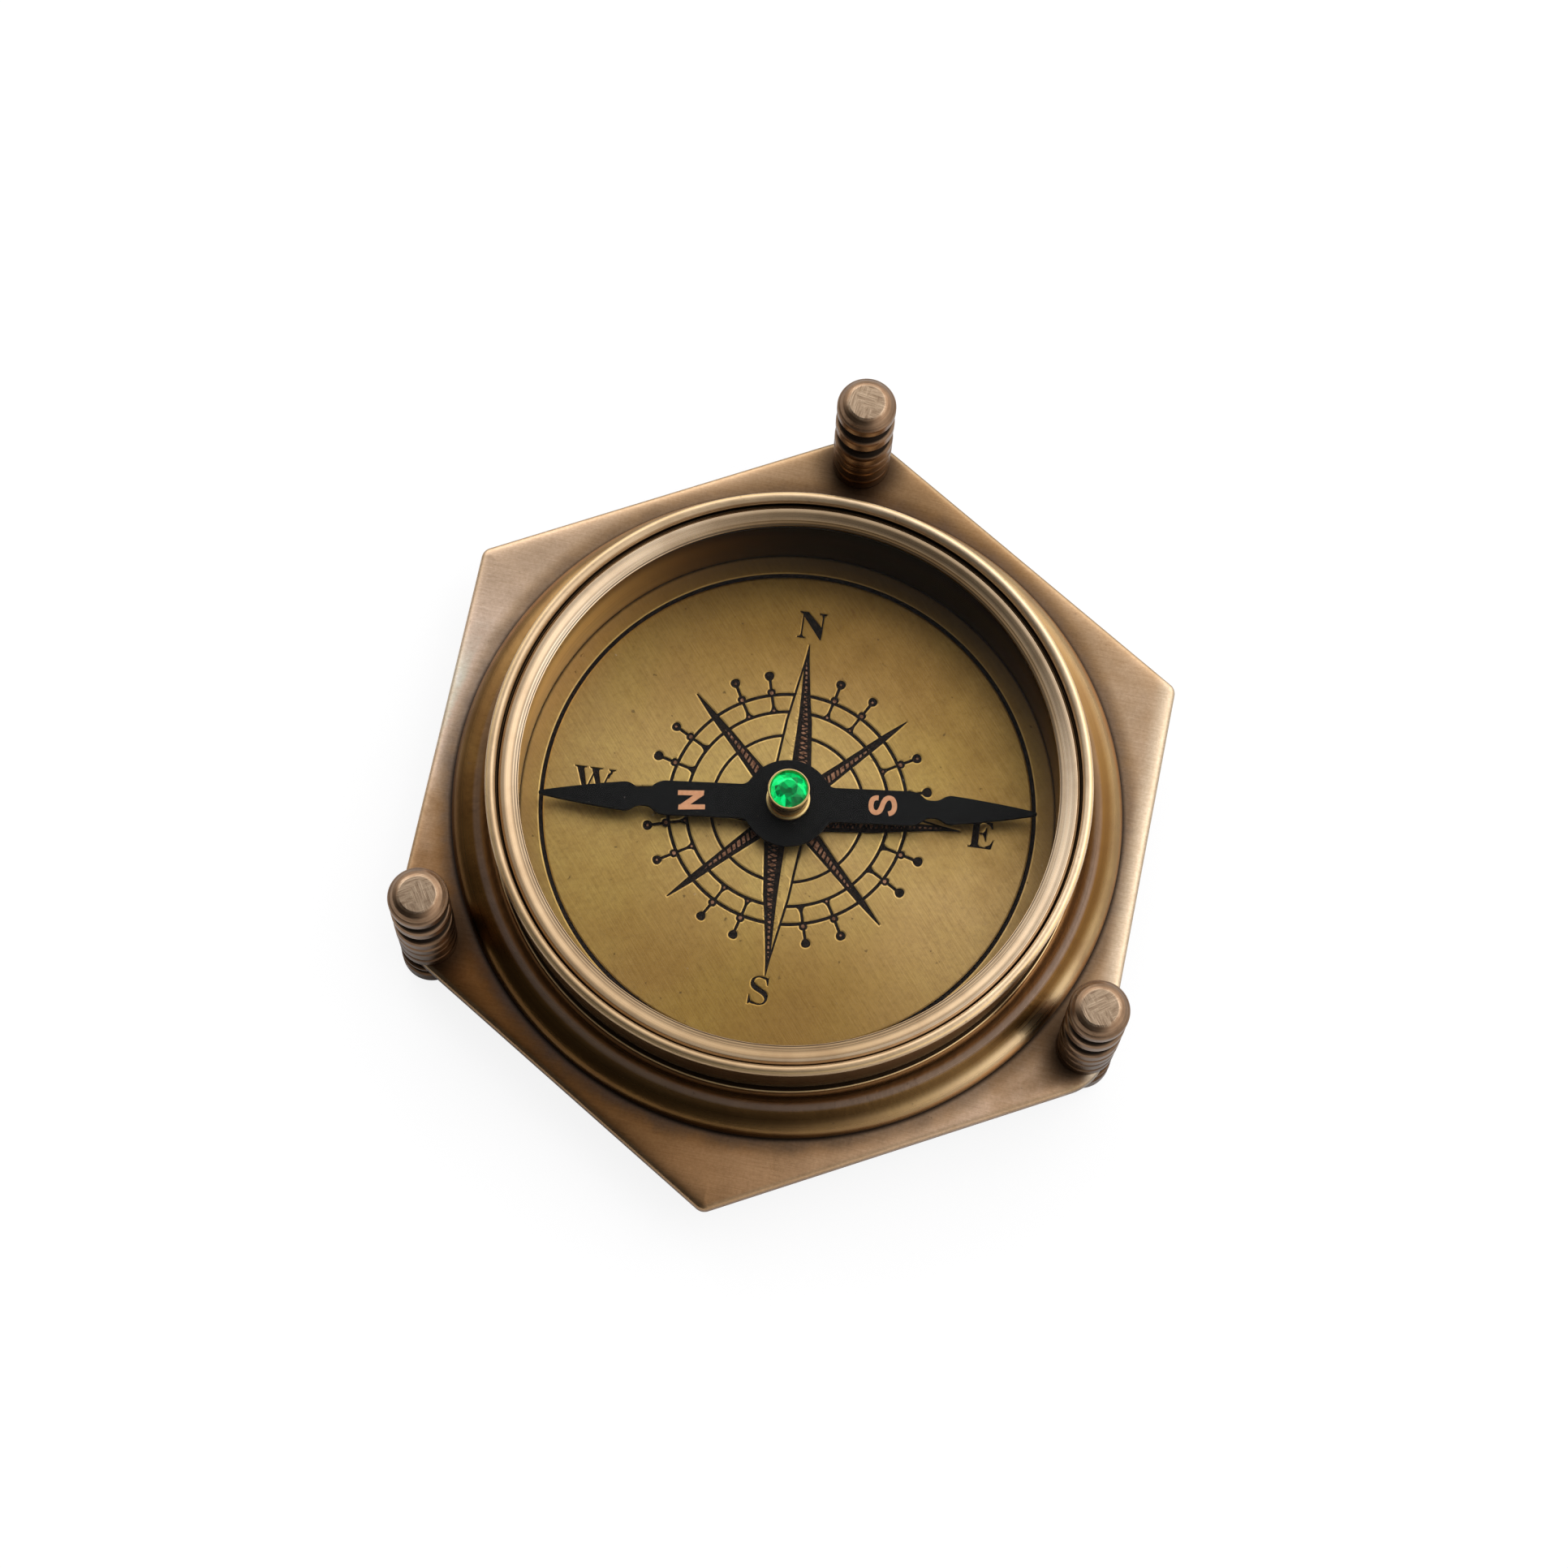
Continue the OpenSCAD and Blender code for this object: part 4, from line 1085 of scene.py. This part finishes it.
def dial():
    shapes = dial_shapes()
    points, tris, sources = triangulate([outline for outline, _ in shapes])
    classes = [dial_class({shapes[i][1] for i in source}) for source in sources]
    tris = [(tri, cls) for tri, cls in zip(tris, classes) if cls != OUTSIDE]
    touching = {}                       # classes that meet at each point
    for tri, cls in tris:
        for v in tri:
            touching.setdefault(v, set()).add(cls)
    verts, faces, face_mats = [], [], []
    made, made_low = {}, {}
    depths = {COPPER: COPPER_DEPTH, INK: INK_DEPTH}

    def vert(v, cls):
        shoulder = SHOULDER_DEPTH if touching[v] != {BRASS} else 0.0
        depth = depths.get(cls, shoulder)
        if (v, depth) not in made:
            made[v, depth] = len(verts)
            verts.append((points[v].x, points[v].y, PLATE_TOP + DIAL_T - depth))
        return made[v, depth]

    edges = {}
    for tri, cls in tris:
        faces.append([vert(v, cls) for v in tri])
        face_mats.append(cls)
        for a, b in zip(tri, tri[1:] + tri[:1]):
            edges.setdefault(tuple(sorted((a, b))), []).append((a, b, cls))
    highest_first = (BRASS, COPPER, INK)
    for uses in edges.values():
        if len(uses) == 2 and uses[0][2] != uses[1][2]:     # wall of an engraved area
            high, low = sorted(uses, key=lambda use: highest_first.index(use[2]))
            a, b, cls = high
            faces.append([vert(b, cls), vert(a, cls), vert(a, low[2]), vert(b, low[2])])
            face_mats.append(INK)
        elif len(uses) == 1:                                # rim and bore
            a, b, cls = uses[0]
            for v in (a, b):
                if v not in made_low:
                    made_low[v] = len(verts)
                    verts.append((points[v].x, points[v].y, PLATE_TOP))
            faces.append([vert(b, cls), vert(a, cls), made_low[a], made_low[b]])
            face_mats.append(BRASS)
    # underside
    ordered = sorted(made_low, key=lambda v: math.atan2(points[v].y, points[v].x))
    rim = [made_low[v] for v in ordered if points[v].length > 5]
    bore = [made_low[v] for v in ordered if points[v].length < 5]
    fill_flat(verts, faces, [rim, bore], up=False)
    face_mats += [BRASS] * (len(faces) - len(face_mats))
    add("dial_engraved", verts, faces, [DIAL_BRASS, DIAL_INK, DIAL_COPPER], CASE, node="dial",
        slot="dial_brass", turn=DIAL_TURN, face_mats=face_mats, smooth=False)


# ---- needle ------------------------------------------------------------------------
# one side of one arm (x, y), from the tip to the straight part by the disc
NEEDLE_HALF_W = 1.93
NEEDLE_ARM = [
    (26.95, 0.10), (26.86, 0.20), (26.6, 0.27), (24.5, 0.66), (22.4, 1.0), (19.8, 1.38),
    (18.1, 1.58), (17.75, 1.62), (17.45, 1.61), (17.15, 1.53), (16.85, 1.38), (16.55, 1.18),
    (16.25, 1.05), (15.9, 0.99), (15.4, 0.99), (15.0, 1.06), (14.72, 1.24), (14.5, 1.46),
    (14.2, 1.66), (13.9, 1.80), (13.55, 1.90), (13.1, NEEDLE_HALF_W)]
# letters, in a frame turned so that the N end of the strip lies toward -X
NEEDLE_N = [
    [(-11.92, 0.30), (-9.12, 0.38), (-9.08, 0.96), (-11.92, 0.86)],
    [(-11.82, -1.32), (-8.92, -1.16), (-8.92, -0.60), (-11.8, -0.74)],
    [(-9.10, 0.42), (-9.10, 0.62), (-9.9, 0.62), (-11.8, -0.86), (-11.8, -1.05),
     (-10.95, -1.0)]]
NEEDLE_S_PATH = [
    (9.78, 1.0), (9.42, 0.98), (9.1, 0.72), (8.98, 0.2), (9.05, -0.3), (9.3, -0.6),
    (9.62, -0.66), (9.95, -0.45), (10.15, 0.0), (10.32, 0.5), (10.58, 0.9), (10.95, 1.05),
    (11.3, 0.88), (11.5, 0.4), (11.5, -0.15), (11.28, -0.58), (10.88, -0.74)]
NEEDLE_S_W = 0.56


def needle_outline():
    disc_r, fillet_r = 4.86, 1.1
    fillet_y = NEEDLE_HALF_W + fillet_r
    fillet_x = math.sqrt((disc_r + fillet_r) ** 2 - fillet_y ** 2)
    meet = math.degrees(math.atan2(fillet_y, fillet_x))     # where the fillet meets the disc
    quarter = NEEDLE_ARM + arc(fillet_x, fillet_y, fillet_r, 270, 180 + meet, 7)
    disc = arc(0, 0, disc_r, meet, 180 - meet, 40)[1:-1]
    upper = quarter + disc + [(-x, y) for x, y in quarter[::-1]]
    return upper + [(-x, -y) for x, y in upper]


def needle_strip():
    """Flat strip with bevelled edges, made from a filled curve."""
    name, bevel = "needle_strip", 0.055
    curve = bpy.data.curves.new(name, "CURVE")
    curve.dimensions = "2D"
    curve.fill_mode = "BOTH"
    curve.extrude = (NEEDLE_T / 2 - bevel) * MM
    curve.bevel_depth = bevel * MM
    curve.bevel_resolution = 2
    curve.offset = -bevel * MM
    for loop in (needle_outline(), circle(1.45, 40)):
        spline = curve.splines.new("POLY")
        spline.points.add(len(loop) - 1)
        for point, (x, y) in zip(spline.points, loop):
            point.co = (x * MM, y * MM, 0, 1)
        spline.use_cyclic_u = True
    sheet = link_new(name + "_c", curve)
    mesh = evaluated_mesh(sheet)
    bpy.data.objects.remove(sheet)
    middle = (NEEDLE_LOW + NEEDLE_TOP) / 2
    verts = [(v.co.x / MM, v.co.y / MM, v.co.z / MM + middle) for v in mesh.vertices]
    faces = [list(p.vertices) for p in mesh.polygons]
    bpy.data.meshes.remove(mesh)
    add(name, verts, faces, NEEDLE_BLACK, SPIN, node="needle", slot="needle_steel",
        turn=NEEDLE_TURN, sharp=50)


def smooth_path(path, steps=4):
    """Catmull-Rom curve through the points."""
    out = []
    for i in range(len(path) - 1):
        near = (path[max(i - 1, 0)], path[i], path[i + 1], path[min(i + 2, len(path) - 1)])
        for k in range(steps):
            t = k / steps
            out.append(tuple(0.5 * (2 * b + (c - a) * t + (2 * a - 5 * b + 4 * c - d) * t * t
                                    + (3 * b - a - 3 * c + d) * t ** 3)
                             for a, b, c, d in zip(*near)))
    return out + [path[-1]]


def stroke(path, width):
    """A band of the given width along a path."""
    left, right = [], []
    for i, (x, y) in enumerate(path):
        before, after = Vector(path[max(i - 1, 0)]), Vector(path[min(i + 1, len(path) - 1)])
        along = (after - before).normalized()
        side = Vector((-along.y, along.x)) * (width / 2)
        left.append((x + side.x, y + side.y))
        right.append((x - side.x, y - side.y))
    return left + right[::-1]


def needle_letter(name, outlines):
    """Raised letter with a small chamfer: top, shoulder and foot layers."""
    foot, top, chamfer = NEEDLE_TOP - 0.02, NEEDLE_TOP + 0.05, 0.03
    points, tris, sources = triangulate(outlines)
    tris = [tri for tri, source in zip(tris, sources) if source]
    uses = {}
    for tri in tris:
        for a, b in zip(tri, tri[1:] + tri[:1]):
            uses.setdefault(tuple(sorted((a, b))), []).append((a, b))
    border = [use[0] for use in uses.values() if len(use) == 1]
    inward = {}
    for a, b in border:
        along = (points[b] - points[a]).normalized()
        for v in (a, b):
            inward[v] = inward.get(v, Vector((0, 0))) + Vector((-along.y, along.x))
    verts, faces, count = [], [], len(points)
    for v, point in enumerate(points):
        if v in inward and inward[v].length > 1e-6:
            point = point + inward[v].normalized() * chamfer
        verts.append((point.x, point.y, top))
    for z in (top - chamfer, foot):
        verts += [(point.x, point.y, z) for point in points]
    for tri in tris:
        faces.append(tri)
        faces.append([v + 2 * count for v in tri[::-1]])
    for a, b in border:
        faces.append([b, a, a + count, b + count])
        faces.append([b + count, a + count, a + 2 * count, b + 2 * count])
    used = sorted({v for face in faces for v in face})
    renumbered = {v: i for i, v in enumerate(used)}
    add(name, [verts[v] for v in used], [[renumbered[v] for v in face] for face in faces],
        LETTER_COPPER, SPIN, slot="needle_steel", turn=NEEDLE_TURN - pi)


# ---- cup and jewel -----------------------------------------------------------------
# (radius, z above the plate)
CUP = [
    (0.9, 2.0), (1.85, 2.0), (1.9, 2.04), (1.9, 2.25), (1.87, 2.28), (1.4, 2.28),
    (1.4, 2.72), (1.9, 2.72), (1.95, 2.77), (1.95, 3.85), (2.0, 3.95), (2.15, 4.0),
    (2.36, 4.02), (2.4, 4.08), (2.4, 4.32), (2.36, 4.4), (2.2, 4.45), (2.12, 4.5),
    (2.1, 4.6), (2.12, 5.6), (2.16, 7.0), (2.2, 7.75), (2.25, 7.85), (2.26, 7.95),
    (2.23, 8.03), (2.16, 8.06), (2.06, 8.03), (1.99, 7.92), (1.95, 7.75), (1.95, 6.68),
    (0.9, 6.68)]


def jewel():
    girdle_r, girdle_z = 1.93, 7.72     # heights above the plate
    low_z, hole_r = 6.71, 0.45
    verts = []

    def ring(radius, z, count, offset=0.0):
        for k in range(count):
            a = 2 * pi * (k + offset) / count
            verts.append((radius * math.cos(a), radius * math.sin(a), PLATE_TOP + z))
        return list(range(len(verts) - count, len(verts)))

    bottom = ring(girdle_r - 0.1, low_z, 16)
    belt = ring(girdle_r, 7.5, 16)
    girdle = ring(girdle_r, girdle_z, 16)
    middle = ring(girdle_r * 0.83, girdle_z + 0.30, 8, 0.5)
    star = ring(girdle_r * 0.60, girdle_z + 0.60, 8)
    table = ring(girdle_r * 0.50, 8.42, 8, 0.5)
    faces = []
    for k in range(16):
        k2 = (k + 1) % 16
        faces.append([bottom[k], bottom[k2], belt[k2], belt[k]])
        faces.append([belt[k], belt[k2], girdle[k2], girdle[k]])
    for k in range(8):
        k2 = (k + 1) % 8
        start, half, end = girdle[2 * k], girdle[2 * k + 1], girdle[(2 * k + 2) % 16]
        faces += [[start, half, middle[k]], [half, end, middle[k]],
                  [start, middle[k], star[k]], [start, star[k], middle[k - 1]],
                  [middle[k], table[k], star[k]], [middle[k], star[k2], table[k]],
                  [star[k], table[k], table[k - 1]]]
    faces.append(table)
    # blind hole on the pin's side
    mouth = ring(hole_r, low_z, 16)
    end = ring(hole_r, 7.0, 16)
    for k in range(16):
        k2 = (k + 1) % 16
        faces.append([bottom[k2], bottom[k], mouth[k], mouth[k2]])
        faces.append([mouth[k2], mouth[k], end[k], end[k2]])
    faces.append(end[::-1])
    mesh = add("jewel_cut", verts, faces, GREEN_STONE, SPIN, node="jewel", slot="jewel_glass",
               smooth=False).data
    tints = random.Random(3)
    # painted reflection: a random brightness for each facet
    facet_light = mesh.attributes.new("facet_light", "FLOAT", "FACE")
    facet_light.data.foreach_set("value", [tints.choice([0.12, 0.3, 0.5, 0.72, 0.9])
                                    for _ in mesh.polygons])
    facets = bmesh.new()
    facets.from_mesh(mesh)
    bmesh.ops.recalc_face_normals(facets, faces=facets.faces)
    facets.to_mesh(mesh)
    facets.free()


# ---- posts and feet ----------------------------------------------------------------
# (radius less POST_R, z, corner radius); LOW counts z from the bottom, HIGH from the top
POST_LOW = [
    (-0.2, 0, 0.04), (-0.06, 0.16, 0.1), (-0.05, 1.5, 0.12), (-0.12, 1.72, 0.08),
    (-0.36, 1.97, 0.03), (-0.12, 2.2, 0.08), (-0.05, 2.42, 0.12), (-0.05, 4.02, 0.12),
    (-0.12, 4.26, 0.08), (-0.36, 4.5, 0.03), (-0.12, 4.74, 0.08), (0, 4.98, 0.12),
    (0, 6.22, 0.12), (-0.12, 6.44, 0.08), (-0.36, 6.65, 0.03), (-0.12, 6.86, 0.08),
    (0, 7.06, 0.12), (0, 8.42, 0.18), (-0.16, 8.76, 0.12), (-0.74, 9.05, 0.06),
    (-0.76, 10.95, 0.06), (-0.18, 11.22, 0.12), (0, 11.5, 0.18), (0, 12.85, 0.18),
    (-0.18, 13.17, 0.12), (-0.74, 13.45, 0.06)]
POST_HIGH = [
    (-0.76, -2.8, 0.06), (-0.2, -2.52, 0.12), (0, -2.25, 0.18), (0, -1.3, 0.15),
    (-0.06, -1.08, 0.1), (-0.2, -0.9, 0.08), (-0.27, -0.84, 0.03), (-0.36, -0.7, 0.12),
    (-0.62, -0.36, 0.3), (-0.98, -0.1, 0.25), (-1.3, 0, 0.08)]
FOOT_LOW = [
    (-1.1, 0, 0.1), (-0.62, 0.1, 0.25), (-0.26, 0.38, 0.25), (-0.04, 0.85, 0.4),
    (0, 1.35, 0.2)]
FOOT_HIGH = [
    (0, -2.3, 0.2), (-0.16, -1.98, 0.12), (-0.68, -1.74, 0.06), (-0.7, -0.88, 0.06),
    (-0.16, -0.66, 0.1), (-0.05, -0.5, 0.1), (-0.05, -0.14, 0.08), (-0.2, 0, 0.04)]


def spindle(low, high, height):
    """Rounded profile from the axis, up the outside and back to the axis."""
    corners = [(POST_R + x, z, corner) for x, z, corner in low]
    corners += [(POST_R + x, height + z, corner) for x, z, corner in high]
    return rounded([(0, 0), *corners, (0, height)])


def posts_and_feet():
    post, foot = spindle(POST_LOW, POST_HIGH, POST_H), spindle(FOOT_LOW, FOOT_HIGH, FOOT_H)
    turns = ((1.45, 0.0), (0.55, 0.4), (2.2, 0.8))          # post and foot, radians
    for letter, centre, (post_turn, foot_turn) in zip("abc", POST_CENTRES, turns):
        for kind, profile, base, turn in (("post_", post, PLATE_TOP, post_turn),
                                          ("foot_", foot, 0.0, foot_turn)):
            lathe(kind + letter + "_turned", profile, 120, POST_BRASS, CASE, base=base,
                  closed=False, node=kind + letter, slot="post_brass", at=centre, turn=turn,
                  sharp=45)


# ---- floor, light, camera ----------------------------------------------------------
# soft lights: direction (0 the camera's right, 90 away from it), degrees above the table,
# radiance at the middle of the light
LIGHTS = (
    (0, 6, 0.43), (30, 6, 0.47), (60, 6, 0.59), (270, 6, 0.12), (300, 6, 0.50),
    (330, 6, 0.93), (45, 30, 1.66), (75, 30, 0.33), (105, 30, 2.11), (135, 30, 1.06),
    (315, 30, 0.51), (345, 30, 0.36), (0, 54, 1.63), (40, 54, 0.62), (120, 54, 0.21))
LIGHT_FOCUS = 12.0                      # exp(12 (cos - 1)) is about 40 degrees wide
FILL = 0.05                             # radiance from everywhere


def floor():
    """A white table. The camera sees it nearly shadowless, as on a lit backdrop."""
    m = Mat("floor_pale")
    cloud = m.noise(scale=0.05, detail=3, rough=0.5)
    real = m.node("ShaderNodeBsdfDiffuse", {"Color": (0.86, 0.86, 0.86)}).outputs[0]
    grey = m.mix((0.19, 0.19, 0.195), (0.21, 0.21, 0.21), cloud)
    soft = m.node("ShaderNodeBsdfDiffuse", {"Color": grey}).outputs[0]
    glow = m.node("ShaderNodeEmission", {"Color": (1, 1, 1), "Strength": 0.86}).outputs[0]
    seen = m.node("ShaderNodeAddShader", {0: soft, 1: glow}).outputs[0]
    by_camera = m.node("ShaderNodeLightPath").outputs["Is Camera Ray"]
    mesh = bpy.data.meshes.new("floor")
    half, z = 3.0, -0.00005             # metres, just under the feet
    mesh.from_pydata([(-half, -half, z), (half, -half, z), (half, half, z), (-half, half, z)],
                     [], [[0, 1, 2, 3]])
    mesh.materials.append(m.output(m.mix_shader(by_camera, real, seen)))
    link_new("floor", mesh)


def world():
    studio = bpy.data.worlds.new("studio")
    bpy.context.scene.world = studio
    studio.use_nodes = True
    g = Graph(studio.node_tree)
    ray = g.node("ShaderNodeTexCoord").outputs["Generated"]
    total = FILL
    for azimuth, elevation, power in LIGHTS:
        a, e = math.radians(azimuth + VIEW_TURN), math.radians(elevation)
        toward = (math.cos(e) * math.cos(a), math.cos(e) * math.sin(a), math.sin(e))
        exponent = g.math("MULTIPLY_ADD", g.vec("DOT_PRODUCT", ray, toward), LIGHT_FOCUS,
                          -LIGHT_FOCUS + math.log(power))
        total = g.math("ADD", g.math("EXPONENT", exponent), total)
    light = g.node("ShaderNodeBackground", {"Color": (1.0, 1.0, 1.0), "Strength": total})
    seen = g.node("ShaderNodeBackground", {"Color": (0.965, 0.965, 0.965), "Strength": 1.0})
    by_camera = g.node("ShaderNodeLightPath").outputs["Is Camera Ray"]
    g.node("ShaderNodeOutputWorld", {
        0: g.mix_shader(by_camera, light.outputs[0], seen.outputs[0])})


def camera():
    scene = bpy.context.scene
    scene.view_settings.view_transform = "Standard"
    scene.view_settings.look = "None"
    scene.view_settings.exposure = 0.0
    lens = bpy.data.cameras.new("camera")
    lens.sensor_width = 36.0
    lens.lens = 93.18447205
    lens.clip_start, lens.clip_end = 0.01, 20
    lens.shift_x, lens.shift_y = 2.3291925e-5, 6.3354037e-4
    ob = bpy.data.objects.new("camera", lens)
    right = (0.97932469, 0.20146822, 0.01826775)
    up = (-0.19827275, 0.93801507, 0.28428091)
    backward = (0.04013815, -0.28202531, 0.95856698)
    pose = Matrix((right, up, backward)).transposed().to_4x4()
    pose.translation = Vector((16.79953955, -121.91334051, 430.85331355)) * MM
    ob.matrix_world = pose
    scene.collection.objects.link(ob)
    scene.camera = ob


# ---- build -------------------------------------------------------------------------
base_plate()
bowl_and_cover()
dial()
needle_strip()
needle_letter("needle_letter_n", NEEDLE_N)
needle_letter("needle_letter_s", [stroke(smooth_path(NEEDLE_S_PATH), NEEDLE_S_W)])
lathe("cup_turned", CUP, 96, BRIGHT_BRASS, SPIN, node="needle_cup", slot="cup_brass", sharp=40)
jewel()
posts_and_feet()
# pieces carried over from the CAD
for piece, mat in (("pivot_base", BRIGHT_BRASS), ("pivot_pin", STEEL), ("post_studs", STEEL),
                   ("bowl_screws", SCREW_BRASS)):
    NODES[piece].data.materials.clear()
    NODES[piece].data.materials.append(mat)
floor()
world()
camera()
